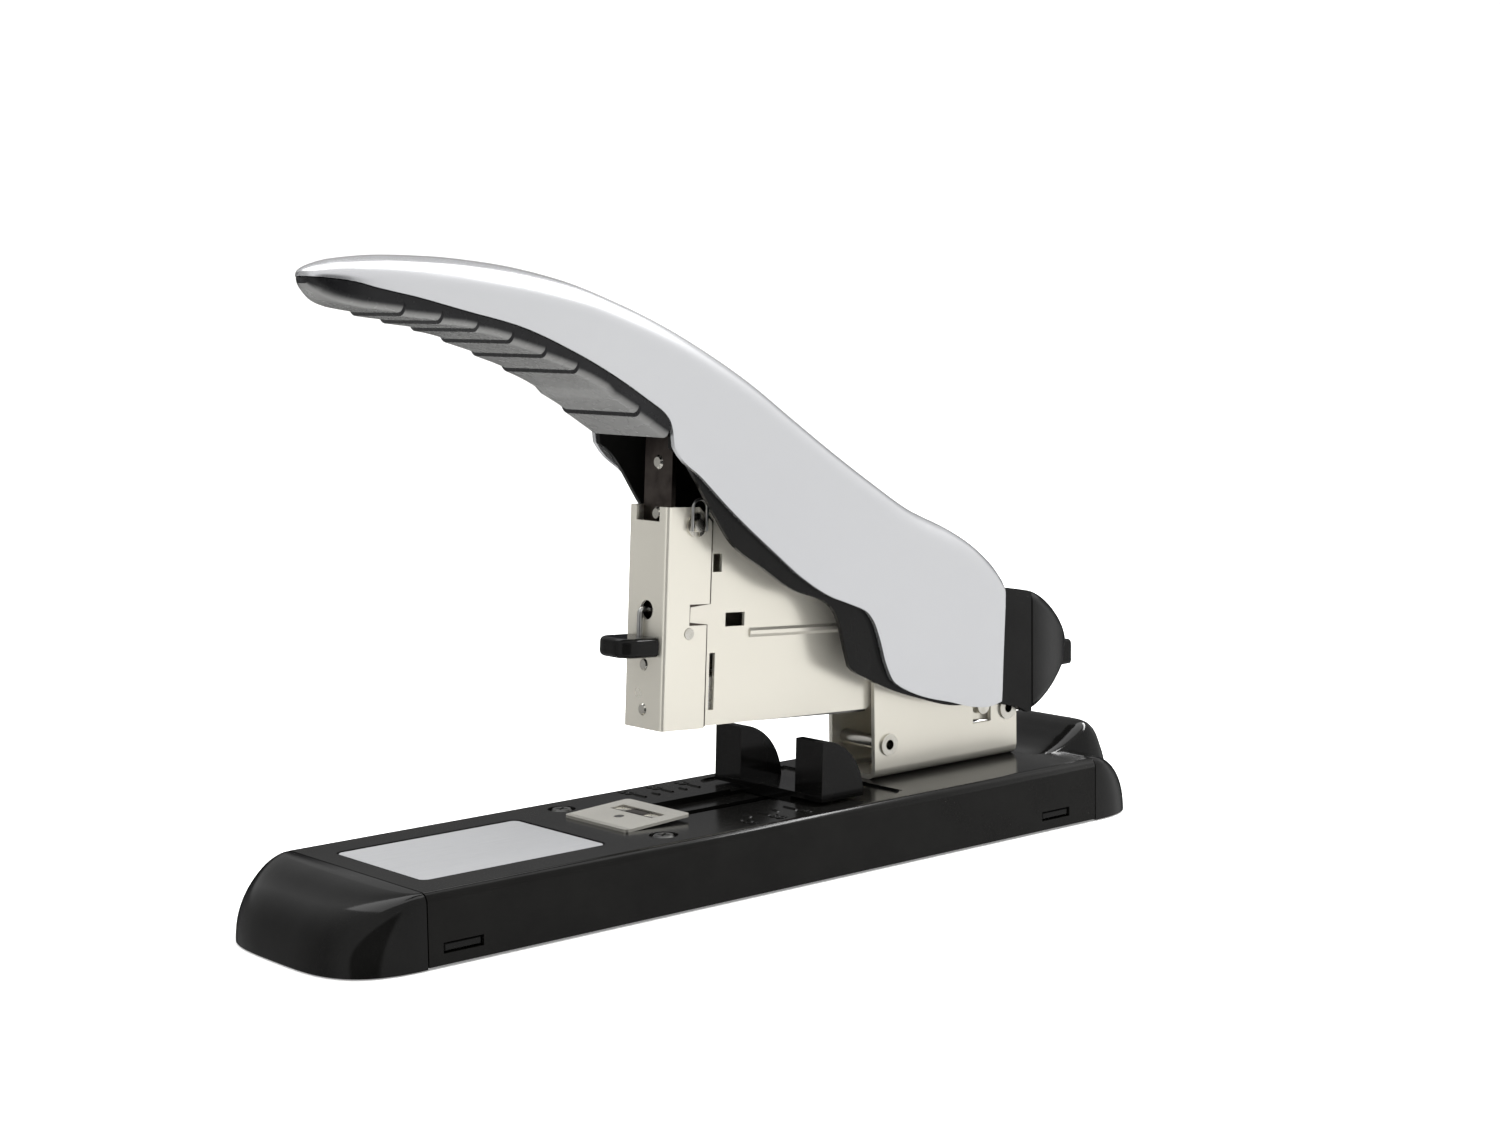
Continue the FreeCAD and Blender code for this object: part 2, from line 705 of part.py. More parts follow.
def make_paper_guide():
    body = new_body("paper_guide")
    clear = 0.3
    tongue = sketch_on(body, "XY_Plane", "Tongue", "Sizes.base_top - Sizes.track_depth + 0.3")
    rectangle(tongue, "Sizes.guide_front", "Sizes.guide_front + Sizes.guide_length",
              "-Sizes.track_width / 2 + 0.3", "Sizes.track_width / 2 - 0.3")
    pad_up(body, tongue, "Sizes.track_depth")
    bar = sketch_on(body, "XY_Plane", "CrossBar", "Sizes.base_top + 0.3")
    rectangle(bar, "Sizes.guide_front", "Sizes.guide_front + Sizes.guide_length - 3",
              "-Sizes.fin_inner - Sizes.fin_width", "Sizes.fin_inner + Sizes.fin_width")
    pad_up(body, bar, "1.6")
    neck = sketch_on(body, "XY_Plane", "Neck", "Sizes.base_top - Sizes.track_depth - 1.8")
    rectangle(neck, "Sizes.guide_front + 3", "Sizes.guide_front + 13",
              "-Sizes.track_slot / 2 + 0.3", "Sizes.track_slot / 2 - 0.3")
    pad_up(body, neck, "2.5")
    low = size("base_top") + clear
    high = size("fin_top")
    front = size("guide_front")
    rear = front + size("guide_length")
    for side in (1, -1):
        middle = side * (size("fin_inner") + size("fin_width") / 2)
        fin = sketch_on(body, "XZ_Plane", "Fin", str(-middle))
        draw(fin, [
            line((front, low), (front + 0.8, high)),
            line((front + 0.8, high), (front + 3.5, high)),
            arc((front + 3.5, high), (front + 11.6, low + 12.2), (rear, low)),
            line((rear, low), (front, low)),
        ])
        pad(body, fin, "Sizes.fin_width")
    bore = sketch_on(body, "XY_Plane", "ScrewBore", "Sizes.base_top - 1.5")
    circle(bore, "Sizes.guide_front + 8", "0", "1.1 + Sizes.fit_gap")
    pocket(body, bore, "4.2")


def make_guide_retainer():
    body = new_body("guide_retainer")
    plate = sketch_on(body, "XY_Plane", "Plate", "Sizes.base_top - Sizes.track_depth - 2.8")
    rectangle(plate, "Sizes.guide_front + 1", "Sizes.guide_front + 15", "-8", "8")
    pad_up(body, plate, "1")
    bore = sketch_on(body, "XY_Plane", "ScrewBore", "Sizes.base_top - Sizes.track_depth")
    circle(bore, "Sizes.guide_front + 8", "0", "1.1 + Sizes.fit_gap")
    pocket(body, bore, "20")
    place = Vector(size("guide_front") + 8, 0, size("base_top") - size("track_depth") - 2.8)
    shank = Part.makeCylinder(1.1, 5.0, place)
    head = Part.makeCylinder(2.4, 1.2, place.sub(Vector(0, 0, 1.2)))
    shape_piece("guide_screw", shank.fuse(head))


# ---------------------------------------------------------------- head, drawn upright


def make_front_sleeve():
    """The folded front plate: a face with a notch and a keyhole, and two side flanges."""
    body = new_body("front_sleeve")
    half = size("sleeve_width") / 2
    section = sketch_on(body, "XY_Plane", "Section", "Sizes.head_bottom")
    front = size("head_front")
    rear = front + size("sleeve_depth") + 1.0
    outer = size("sleeve_bend")
    inner = outer - size("sleeve_sheet")
    inside = half - size("sleeve_sheet")
    face = front + size("sleeve_sheet")
    bend = front + outer
    draw(section, [
        line((rear, -half), (bend, -half)),
        corner_arc((bend, -half + outer), outer, 270, 180),
        line((front, -half + outer), (front, half - outer)),
        corner_arc((bend, half - outer), outer, 180, 90),
        line((bend, half), (rear, half)),
        line((rear, half), (rear, inside)),
        line((rear, inside), (bend, inside)),
        corner_arc((bend, half - outer), inner, 90, 180),
        line((face, half - outer), (face, -half + outer)),
        corner_arc((bend, -half + outer), inner, 180, 270),
        line((bend, -inside), (rear, -inside)),
        line((rear, -inside), (rear, -half)),
    ])
    pad_up(body, section, "Sizes.head_top - Sizes.head_bottom")
    side_cuts = sketch_on(body, "XZ_Plane", "SideCuts")
    polygon(side_cuts, [
        ("Sizes.head_front + 11.2", "Sizes.head_top"),
        ("Sizes.head_front + 15.9", "Sizes.head_top - 4.2"),
        ("Sizes.head_front + 15.9", "Sizes.head_top - 26.9"),
        ("Sizes.head_front + 8.8", "Sizes.head_top - 26.9"),
        ("Sizes.head_front + 8.8", "Sizes.head_top - 32.8"),
        ("Sizes.head_front + 15", "Sizes.head_top - 32.8"),
        ("Sizes.head_front + 15", "Sizes.head_bottom - 1"),
        ("Sizes.head_front + 20", "Sizes.head_bottom - 1"),
        ("Sizes.head_front + 20", "Sizes.head_top + 1"),
        ("Sizes.head_front + 11.2", "Sizes.head_top + 1"),
    ])
    pocket(body, side_cuts, "Sizes.sleeve_width + 10")
    notch = sketch_on(body, "YZ_Plane", "TopNotch", "Sizes.head_front")
    rectangle(notch, "-5.1", "5.1", "Sizes.head_top - 4.1", "Sizes.head_top + 1")
    pocket(body, notch, "2 * Sizes.sleeve_sheet + 1")
    keyhole = sketch_on(body, "YZ_Plane", "Keyhole", "Sizes.head_front")
    circle(keyhole, "-0.6", "Sizes.head_bottom + 33", "2.7")
    pocket(body, keyhole, "2 * Sizes.sleeve_sheet + 1")
    bores = sketch_on(body, "YZ_Plane", "RivetBores", "Sizes.head_front")
    for height in ("5.3", "17.8"):
        circle(bores, "0", "Sizes.head_bottom + " + height, "1.7 + Sizes.fit_gap")
    pocket(body, bores, "2 * Sizes.sleeve_sheet + 1")
    pins = sketch_on(body, "XZ_Plane", "SidePinBores")
    circle(pins, "Sizes.head_front + 10", "Sizes.head_top - 5", "1.8 + Sizes.fit_gap")
    circle(pins, "Sizes.head_front + 8.8", "Sizes.head_top - 35", "1.6 + Sizes.fit_gap")
    pocket(body, pins, "Sizes.sleeve_width + 10")
    lean(body)


def make_magazine_frame():
    """Two triangular side plates joined by a web along part of the sloping top."""
    body = new_body("magazine_frame")
    outline = sketch_on(body, "XZ_Plane", "Outline")
    polygon(outline, [
        ("Sizes.head_front + Sizes.sleeve_sheet + 0.6", "Sizes.head_bottom + 0.3"),
        ("49", "Sizes.head_bottom + 1.5"),
        ("51", "Sizes.head_bottom + 2.8"),
        ("62", "Sizes.head_bottom + 2.8"),
        ("67", "Sizes.head_bottom - 0.4"),
        ("94", "31"),
        ("112", "29.5"),
        ("112", "44"),
        ("104", "47.5"),
        ("77", "51.2"),
        ("51.3", "59.7"),
        ("40.7", "69"),
        ("25.3", "76"),
        ("4.7", "84.9"),
        ("-13", "96.3"),
        ("Sizes.head_front + Sizes.sleeve_sheet + 0.6", "96.3"),
    ])
    pad(body, outline, "Sizes.frame_width")
    hollow = sketch_on(body, "XZ_Plane", "Hollow")
    polygon(hollow, [
        ("Sizes.head_front - 1", "Sizes.head_bottom - 10"),
        ("120", "Sizes.head_bottom - 10"),
        ("120", "100"),
        ("44", "100"),
        ("44", "64.9"),
        ("25.3", "74.9"),
        ("4.7", "83.8"),
        ("4.7", "100"),
        ("Sizes.head_front - 1", "100"),
    ])
    pocket(body, hollow, "Sizes.frame_width - 2 * Sizes.frame_sheet")
    openings = sketch_on(body, "XZ_Plane", "Windows")
    rectangle(openings, "-11.4", "-8.2", "79.1", "84.2")
    rectangle(openings, "-6.3", "0.7", "63.7", "67.6")
    rectangle(openings, "-11.7", "-9.7", "40.5", "56.5")
    circle(openings, "Sizes.head_front + 10", "Sizes.head_top - 5", "1.8 + Sizes.fit_gap")
    circle(openings, "Sizes.head_front + 8.8", "Sizes.head_top - 35", "1.6 + Sizes.fit_gap")
    circle(openings, "Sizes.pivot_place", "Sizes.pivot_height",
           "Sizes.pivot_radius + Sizes.running_gap")
    for place in ("60", "80"):
        circle(openings, place, "40", "1.5 + Sizes.fit_gap")
    pin = in_head_frame(size("handle_pin_place"), size("handle_pin_height"))
    circle(openings, str(pin[0]), str(pin[1]), "Sizes.handle_pin_radius + Sizes.running_gap")
    pocket(body, openings, "Sizes.frame_width + 10")
    make_beads(body)
    lean(body)


def make_beads(body):
    """A raised stiffening bead pressed along each side plate, with sloping flanks."""
    edge = "Sizes.frame_width / 2"
    bead = sketch_on(body, "YZ_Plane", "Bead", "2.6")
    polygon(bead, [
        ("-" + edge, "60.3"), (edge, "60.3"),
        (edge + " + Sizes.bead_height", "61.2"), (edge + " + Sizes.bead_height", "62.2"),
        (edge, "63.0"), ("-" + edge, "63.0"),
        ("-" + edge + " - Sizes.bead_height", "62.2"),
        ("-" + edge + " - Sizes.bead_height", "61.2"),
    ])
    pad_up(body, bead, "Sizes.bead_length")
    inner = sketch_on(body, "XZ_Plane", "BeadHollow")
    rectangle(inner, "2", "3.2 + Sizes.bead_length", "60", "63.5")
    pocket(body, inner, "Sizes.frame_width - 2 * Sizes.frame_sheet")


def in_head_frame(along, height):
    """Turns a point of the resting stapler into the head's own upright frame."""
    angle = math.radians(size("head_lean"))
    across = along - size("pivot_place")
    up = height - size("pivot_height")
    turned = across * math.cos(angle) - up * math.sin(angle)
    raised = across * math.sin(angle) + up * math.cos(angle)
    return size("pivot_place") + turned, size("pivot_height") + raised


def make_magazine_core():
    """The inner channel that the staples ride on."""
    body = new_body("magazine_core")
    front = size("blade_front") + size("blade_sheet") + 0.3
    section = sketch_on(body, "YZ_Plane", "Section", str(front))
    draw(section, folded_channel(size("core_width") / 2, size("head_bottom") + 0.4,
                                 size("core_top"), 1.0, 1.6, True))
    pad_up(body, section, "Sizes.core_rear - %s" % front)
    cuts = sketch_on(body, "XZ_Plane", "Cuts")
    for place in ("60", "80"):
        circle(cuts, place, "40", "1.5 + Sizes.fit_gap")
    rectangle(cuts, "50.5", "62.5", "Sizes.head_bottom - 1", "Sizes.head_bottom + 2.4")
    rectangle(cuts, "75.5", "Sizes.core_rear + 1", "45", "Sizes.core_top + 1")
    pocket(body, cuts, "Sizes.frame_width + 10")
    lean(body)


def make_core_rivets():
    half = size("frame_width") / 2 + 0.5
    rivets = []
    for place in (60.0, 80.0):
        start = Vector(place, -half + 0.5, 40)
        rivets.append(Part.makeCylinder(1.5, 2 * half - 1.0, start, Vector(0, 1, 0)))
    lean(group_of("core_rivets", rivets))


def make_staple_strip():
    """A short strip of unused staples astride the core, glued wire to wire."""
    body = new_body("staple_strip")
    front = size("blade_front") + size("blade_sheet") + 0.3
    section = sketch_on(body, "YZ_Plane", "Section", str(front))
    draw(section, folded_channel(size("staple_crown") / 2, size("head_bottom") + 0.6,
                                 size("core_top") + 1.1, 0.9, 1.3, True))
    pad_up(body, section, "Sizes.strip_length")
    lean(body)


def make_sleeve_rivets():
    rivets = []
    for height in (5.3, 17.8):
        place = Vector(size("head_front"), 0, size("head_bottom") + height)
        shank = Part.makeCylinder(1.7, 1.7, place, Vector(1, 0, 0))
        head = Part.makeCone(1.7, 1.3, 0.4, place, Vector(-1, 0, 0))
        rivets.append(shank.fuse(head))
    lean(group_of("sleeve_rivets", rivets))


def make_blade_guide():
    """The plate riveted inside the sleeve that the blade slides down."""
    body = new_body("blade_guide")
    back = "Sizes.head_front + Sizes.sleeve_sheet"
    plate = sketch_on(body, "YZ_Plane", "Plate", back)
    rectangle(plate, "-6.4", "6.4", "Sizes.head_bottom + 0.3", "Sizes.head_bottom + 26")
    pad_up(body, plate, "1.0")
    bores = sketch_on(body, "YZ_Plane", "RivetBores", back)
    for height in ("5.3", "17.8"):
        circle(bores, "0", "Sizes.head_bottom + " + height, "1.7 + Sizes.fit_gap")
    pocket(body, bores, "6")
    lean(body)


def make_side_pins():
    half = size("sleeve_width") / 2
    across = Vector(0, 1, 0)
    pins = []
    rings = []
    loops = []
    for side in (1, -1):
        place = Vector(size("head_front") + 10, side * (size("frame_width") / 2 - 1.0),
                       size("head_top") - 5)
        pins.append(Part.makeCylinder(1.8, 3.9, place, across * side))
        ring_place = Vector(place.x, side * (half + 0.1), place.z)
        ring = Part.makeCylinder(3.3, 0.7, ring_place, across * side)
        gap = Part.makeBox(1.8, 3.0, 4.0, Vector(place.x - 0.9, ring_place.y - 1.5, place.z - 5.0))
        bore = Part.makeCylinder(1.8 + size("fit_gap"), 3.0, ring_place, across * side)
        rings.append(ring.cut([bore, gap]))
        loops.append(spring_loop(place.x, side * (half + 1.7), place.z))
    for side in (1, -1):
        start = Vector(size("head_front") + 8.8, side * (size("frame_width") / 2 - 1.0),
                       size("head_top") - 35)
        pins.append(Part.makeCylinder(1.6, 2.1, start, across * side))
    lean(group_of("side_pins", pins))
    lean(group_of("retaining_rings", rings))
    lean(group_of("spring_loops", loops))


def spring_loop(along, across, height):
    """The end loop of the return spring wire, hung round a side pin and open at the bottom."""
    wire = 0.45
    reach = 2.5
    low = height - 1.5
    high = height + 4.8
    left = Part.LineSegment(Vector(along - reach, across, low), Vector(along - reach, across, high))
    top = Part.Arc(Vector(along - reach, across, high), Vector(along, across, high + reach),
                   Vector(along + reach, across, high))
    right = Part.LineSegment(Vector(along + reach, across, high),
                             Vector(along + reach, across, low))
    path = Part.Wire([left.toShape(), top.toShape(), right.toShape()])
    start = Vector(along - reach, across, low)
    ring = Part.Wire([Part.Circle(start, Vector(0, 0, 1), wire).toShape()])
    return path.makePipeShell([ring], True, False)


def make_rear_housing():
    """The black plastic housing that closes the head behind the bracket."""
    body = new_body("rear_housing")
    front = size("housing_front")
    rear = size("housing_rear")
    outline = sketch_on(body, "XZ_Plane", "Outline")
    low = size("cover_low")
    high = size("cover_high")
    draw(outline, [
        line((front, 38.5), (rear - 6, low + 2.0)),
        line((rear - 6, low + 2.0), (rear - 2.2, low)),
        line((rear - 2.2, low), (rear, low)),
        line((rear, low), (rear, high)),
        arc((rear, high), (rear - 8, high + 1.6), (front, high + 2.2)),
        line((front, high + 2.2), (front, 38.5)),
    ])
    pad(body, outline, "Sizes.housing_width")
    hollow = sketch_on(body, "XZ_Plane", "Hollow")
    polygon(hollow, [
        ("Sizes.housing_front - 1", "Sizes.cover_low - 4"),
        ("Sizes.housing_rear - 1.6", "Sizes.cover_low - 4"),
        ("Sizes.housing_rear - 1.6", "Sizes.cover_high - 1.2"),
        ("Sizes.housing_front - 1", "Sizes.cover_high + 0.4"),
    ])
    pocket(body, hollow, "Sizes.housing_width - 2 * Sizes.housing_wall")
    way_out = sketch_on(body, "YZ_Plane", "PusherWay", "Sizes.housing_rear")
    rectangle(way_out, "-5.6", "5.6", "42", "62")
    pocket(body, way_out, "8")


# ---------------------------------------------------------------- driver, drawn upright


def make_driver():
    blade = new_body("driver_blade")
    low = "Sizes.head_bottom + Sizes.driver_stroke + 0.5"
    face = sketch_on(blade, "YZ_Plane", "Face", "Sizes.blade_front")
    rectangle(face, "-Sizes.blade_width / 2", "Sizes.blade_width / 2", low, "Sizes.head_top - 8")
    pad_up(blade, face, "Sizes.blade_sheet")
    bore = sketch_on(blade, "YZ_Plane", "RivetBores", "Sizes.blade_front")
    circle(bore, "0", "Sizes.head_top - 13", "1.5 + Sizes.fit_gap")
    pocket(blade, bore, "6")
    lean(blade)
    link = new_body("driver_link")
    strip = sketch_on(link, "YZ_Plane", "Face", "Sizes.blade_front + Sizes.blade_sheet")
    rectangle(strip, "-Sizes.link_width / 2", "Sizes.link_width / 2", "Sizes.head_top - 18",
              "Sizes.link_top")
    pad_up(link, strip, "Sizes.link_sheet")
    holes = sketch_on(link, "YZ_Plane", "RivetBores", "Sizes.blade_front")
    for height in ("-13", "-2.2", "12"):
        circle(holes, "0", "Sizes.head_top + " + height, "1.5 + Sizes.fit_gap")
    pocket(link, holes, "12")
    lean(link)
    rivets = []
    front = size("blade_front") + size("blade_sheet")
    for height in (-2.2, 12.0):
        place = Vector(front, 0, size("head_top") + height)
        shank = Part.makeCylinder(1.5, size("link_sheet"), place, Vector(1, 0, 0))
        rivets.append(shank.fuse(Part.makeCone(2.0, 1.4, 0.6, place, Vector(-1, 0, 0))))
    place = Vector(size("blade_front"), 0, size("head_top") - 13)
    rivets.append(Part.makeCylinder(1.5, size("blade_sheet") + size("link_sheet"), place,
                                    Vector(1, 0, 0)))
    lean(group_of("driver_rivets", rivets))


# ---------------------------------------------------------------- front release lever


def make_release_lever():
    """A bent wire hooked through the keyhole, turning on its own cross bar, and its knob."""
    wire = 0.8
    height = size("head_bottom") + 33
    front = size("head_front") - 1.1
    hinge = size("head_front") + 1.5
    side = 0.9
    stem_bottom = height - 10.6
    drop = Part.LineSegment(Vector(front, side, stem_bottom), Vector(front, side, height - 1.2))
    turn = Part.Arc(Vector(front, side, height - 1.2),
                    Vector(front + 0.35, side, height - 0.35), Vector(front + 1.2, side, height))
    inward = Part.LineSegment(Vector(front + 1.2, side, height), Vector(hinge, side, height))
    path = Part.Wire([drop.toShape(), turn.toShape(), inward.toShape()])
    ring = Part.Wire([Part.Circle(Vector(front, side, stem_bottom), Vector(0, 0, 1),
                                  wire).toShape()])
    cross_bar = Part.makeCylinder(0.5, 3.6, Vector(hinge, side - 1.8, height), Vector(0, 1, 0))
    stem = path.makePipeShell([ring], True, False, 1).fuse(cross_bar)
    lean(shape_piece("release_stem", stem))
    knob = new_body("release_knob")
    knob_bottom = height - 12.6
    thickness = 5.4
    plan = sketch_on(knob, "XY_Plane", "Plan", str(knob_bottom))
    back = size("head_front") - 0.6
    nose = back - 12
    draw(plan, [
        line((back, -7), (back, 7)),
        line((back, 7), (nose + 5, 7)),
        corner_arc((nose + 5, 2), 5, 90, 180),
        line((nose, 2), (nose, -2)),
        corner_arc((nose + 5, -2), 5, 180, 270),
        line((nose + 5, -7), (back, -7)),
    ])
    pad_up(knob, plan, str(thickness))
    round_edges(knob, "1.4", lambda edge: edge.BoundBox.ZLength < 1e-3
                and edge.BoundBox.XMin < back - 0.01)
    seat = sketch_on(knob, "XY_Plane", "StemSeat", str(knob_bottom + thickness))
    circle(seat, str(front), str(side), "%s + Sizes.fit_gap" % wire)
    pocket(knob, seat, str(2 * (knob_bottom + thickness - stem_bottom)))
    lean(knob)


# ---------------------------------------------------------------- loader and pusher


def cover_section(front):
    """Half width, low, high and corner radius of the loader cover at a distance behind it."""
    reach = size("cover_rear") - size("cover_front")
    share = min(front / reach, 0.995)
    keep = (1 - share ** 2.1) ** (1 / 2.1)
    middle = 49.5
    half_width = size("housing_width") / 2 * (0.3 + 0.7 * keep)
    low = middle - (middle - size("cover_low")) * keep - 1.5 * (1 - keep)
    high = middle + (size("cover_high") - middle) * keep + 1.5 * (1 - keep)
    corner = min(half_width, (high - low) / 2) * (0.25 + 0.55 * share)
    return half_width, low, high, corner


def rounded_box(half_width, low, high, corner):
    """Curves of an upright rectangle with rounded corners."""
    inner = half_width - corner
    return [
        line((-inner, low), (inner, low)),
        corner_arc((inner, low + corner), corner, -90, 0),
        line((half_width, low + corner), (half_width, high - corner)),
        corner_arc((inner, high - corner), corner, 0, 90),
        line((inner, high), (-inner, high)),
        corner_arc((-inner, high - corner), corner, 90, 180),
        line((-half_width, high - corner), (-half_width, low + corner)),
        corner_arc((-inner, low + corner), corner, 180, 270),
    ]


def cover_loft(body, kind, inset, shares):
    """Lofts the cover's dome, drawn in by inset, through the given shares of its depth."""
    sections = []
    reach = size("cover_rear") - size("cover_front")
    for index, share in enumerate(shares):
        half_width, low, high, corner = cover_section(share * reach)
        along = size("cover_front") + share * (reach - inset)
        section = sketch_on(body, "YZ_Plane", kind + "Section%d" % index, str(along))
        draw(section, rounded_box(half_width - inset, low + inset, high - inset,
                                  max(corner - inset, 0.6)))
        sections.append(section)
    loft = body.newObject("PartDesign::" + kind + "Loft", kind + "Dome")
    loft.Profile = sections[0]
    loft.Sections = sections[1:]


def make_loader():
    cover = new_body("loader_cover")
    cover_loft(cover, "Additive", 0.0, (0.0, 0.3, 0.58, 0.8, 0.93, 1.0))
    doc.recompute()
    cover_loft(cover, "Subtractive", size("housing_wall"), (0.0, 0.3, 0.58, 0.8, 0.93))
    well = sketch_on(cover, "YZ_Plane", "ButtonWell", "Sizes.cover_rear")
    rectangle(well, "-4.3", "4.3", "42.7", "51.3")
    pocket(cover, well, "10")
    plate = new_body("loader_plate")
    face = sketch_on(plate, "YZ_Plane", "Face", "Sizes.cover_front + 0.6")
    rectangle(face, "-9.5", "9.5", "37", "64.5")
    pad_up(plate, face, "1.2")
    bore = sketch_on(plate, "YZ_Plane", "RodBore", "Sizes.cover_front")
    fall = math.tan(math.radians(size("head_lean")))
    rise = (size("rod_height") - size("pivot_height")) / math.cos(math.radians(size("head_lean")))
    rod_at_plate = size("pivot_height") + rise - fall * (
        size("cover_front") + 1.2 - size("pivot_place"))
    circle(bore, "0", str(rod_at_plate), "Sizes.rod_radius + 0.15")
    pocket(plate, bore, "8")
    start = Vector(size("pusher_front") + 4, 0, size("rod_height"))
    rod = Part.makeCylinder(size("rod_radius"), 117.5 - start.x, start, Vector(1, 0, 0))
    stop = Part.makeCylinder(3.4, 1.0, Vector(112.9, 0, size("rod_height")), Vector(1, 0, 0))
    lean(shape_piece("pusher_rod", rod.fuse(stop)))
    spring_start = size("pusher_front") + size("pusher_length") + 0.3
    coil = coil_spring(3.0, 0.45, 3.2, 112.6 - spring_start)
    coil.Placement = Placement(Vector(spring_start, 0, size("rod_height")),
                               Rotation(Vector(0, 1, 0), 90))
    lean(shape_piece("pusher_spring", coil))


def coil_spring(radius, wire, pitch, height):
    """A coil of round wire up the Z axis, standing on Z = 0."""
    turns = (height - 2 * wire) / pitch
    helix = Part.makeHelix(pitch, turns * pitch, radius)
    helix.translate(Vector(0, 0, wire))
    ring = Part.Wire([Part.Circle(Vector(radius, 0, wire), Vector(0, 1, 0), wire).toShape()])
    return Part.Wire(helix).makePipeShell([ring], True, True)


def make_pusher():
    body = new_body("staple_pusher")
    block = sketch_on(body, "YZ_Plane", "Section", "Sizes.pusher_front")
    rectangle(block, "-4.6", "4.6", "Sizes.core_top + 0.3", "Sizes.rod_height + 3.4")
    pad_up(body, block, "Sizes.pusher_length")
    bore = sketch_on(body, "YZ_Plane", "RodBore", "Sizes.pusher_front")
    circle(bore, "0", "Sizes.rod_height", "Sizes.rod_radius + Sizes.running_gap")
    pocket(body, bore, "60")
    lean(body)


def make_latch_button():
    body = new_body("latch_button")
    face = sketch_on(body, "YZ_Plane", "Face", "Sizes.cover_rear - 2.2")
    rectangle(face, "-4", "4", "43", "51")
    pad_up(body, face, "4.2")
    round_edges(body, "1.4", lambda edge: edge.BoundBox.XLength > 1 and edge.BoundBox.YLength < 0.1
                and edge.BoundBox.ZLength < 0.1)


# ---------------------------------------------------------------- handle

# The crown line of the handle in the side view, from the nose to the rear.
CROWN = [(-132.0, 170.7), (-126.0, 173.2), (-110.0, 174.7), (-79.0, 172.5), (-41.0, 162.2),
         (-13.0, 149.0), (15.0, 131.2), (46.0, 110.7), (62.0, 101.3), (78.0, 94.0),
         (90.0, 87.2), (99.0, 79.4)]

# The silver shell's lower edge, from the nose rearward.
SEAM_GRIP = [(-133.0, 170.6), (-122.0, 168.0), (-100.0, 162.0), (-78.0, 156.0), (-58.0, 147.4),
             (-42.5, 138.6), (-33.5, 132.6)]
SEAM_FLANK = [(-29.8, 122.8), (-9.0, 103.2), (16.0, 83.2), (34.0, 74.2), (40.5, 71.2)]
SEAM_FOOT = [(44.4, 65.0), (47.4, 56.0), (51.4, 49.4), (64.0, 43.6), (84.0, 38.2), (92.0, 37.4)]

# The liner's lower edge, which shows below the shell.
LINER_FLANK = [(-30.4, 122.4), (-15.0, 103.8), (3.0, 86.8), (16.0, 79.0), (25.5, 75.4)]
LINER_FOOT = [(30.6, 70.0), (33.4, 60.0), (38.0, 53.0), (52.0, 46.8), (70.0, 42.0), (92.0, 38.2)]


def crown_height(along):
    """Height of the handle's crown line at a distance along X."""
    curve = smooth_curve(CROWN)
    low, high = curve.FirstParameter, curve.LastParameter
    for _ in range(40):
        middle = (low + high) / 2
        if curve.value(middle).x < along:
            low = middle
        else:
            high = middle
    return curve.value(low).y


def width_share(along):
    """Share of the full half width: a rounded nose in plan and a slight draw-in at the rear."""
    nose = min(max((along + 132.0) / 80.0, 0.0), 1.0)
    rear = min(max((along - 84.0) / 14.6, 0.0), 1.0)
    return (1 - (1 - nose) ** 2.33) ** 0.447 * (1 - 0.03 * rear ** 2)


def stations_between(front, rear, count, crowding):
    """Distances along the handle, set closer together towards the front."""
    return [front + (rear - front) * (index / count) ** crowding for index in range(count + 1)]


def arched_section(half_width, crown, low):
    """Curves of a section with a gently arched top, round shoulders and straight sides."""
    top_radius = 2.2 * half_width
    corner = 0.45 * half_width
    hub = half_width - corner
    top_centre = crown - top_radius
    rise = math.sqrt((top_radius - corner) ** 2 - hub ** 2)
    corner_centre = top_centre + rise
    tangent = (top_radius * hub / (top_radius - corner),
               top_centre + top_radius * rise / (top_radius - corner))
    slope = math.degrees(math.atan2(rise, hub))
    return [
        line((-half_width, low), (half_width, low)),
        line((half_width, low), (half_width, corner_centre)),
        corner_arc((hub, corner_centre), corner, 0, slope),
        arc(tangent, (0, crown), (-tangent[0], tangent[1])),
        corner_arc((-hub, corner_centre), corner, 180 - slope, 180),
        line((-half_width, corner_centre), (-half_width, low)),
    ]


def handle_loft(body, kind, inset, stations, low):
    """Lofts the handle's outside, drawn in by inset, through the given stations."""
    sections = []
    for index, along in enumerate(stations):
        half_width = width_share(along) * size("handle_width") / 2 - inset
        crown = crown_height(along) - 1.15 * inset
        section = sketch_on(body, "YZ_Plane", kind + "Section%d" % index, str(along))
        draw(section, arched_section(half_width, crown, low))
        sections.append(section)
    loft = body.newObject("PartDesign::" + kind + "Loft", kind + "Loft")
    loft.Profile = sections[0]
    loft.Sections = sections[1:]
    return loft


def cut_below(body, edge_curves, front, rear):
    """Cuts away everything below an edge drawn from the front to the rear of the handle."""
    sketch = sketch_on(body, "XZ_Plane", "LowerEdge")
    first = edge_curves[0].StartPoint
    last = edge_curves[-1].EndPoint
    curves = [line((front, 0), (front, first.y))]
    if first.x - front > 1e-6:
        curves.append(line((front, first.y), (first.x, first.y)))
    curves += edge_curves
    back = size("handle_rear")
    curves.append(line((last.x, last.y), (back - 2.6, last.y + 0.9)))
    curves.append(line((back - 2.6, last.y + 0.9), (back, 76.0)))
    curves.append(line((back, 76.0), (rear, 76.0)))
    curves.append(line((rear, 76.0), (rear, 0)))
    curves.append(line((rear, 0), (front, 0)))
    draw(sketch, curves)
    pocket(body, sketch, "2 * Sizes.handle_width")


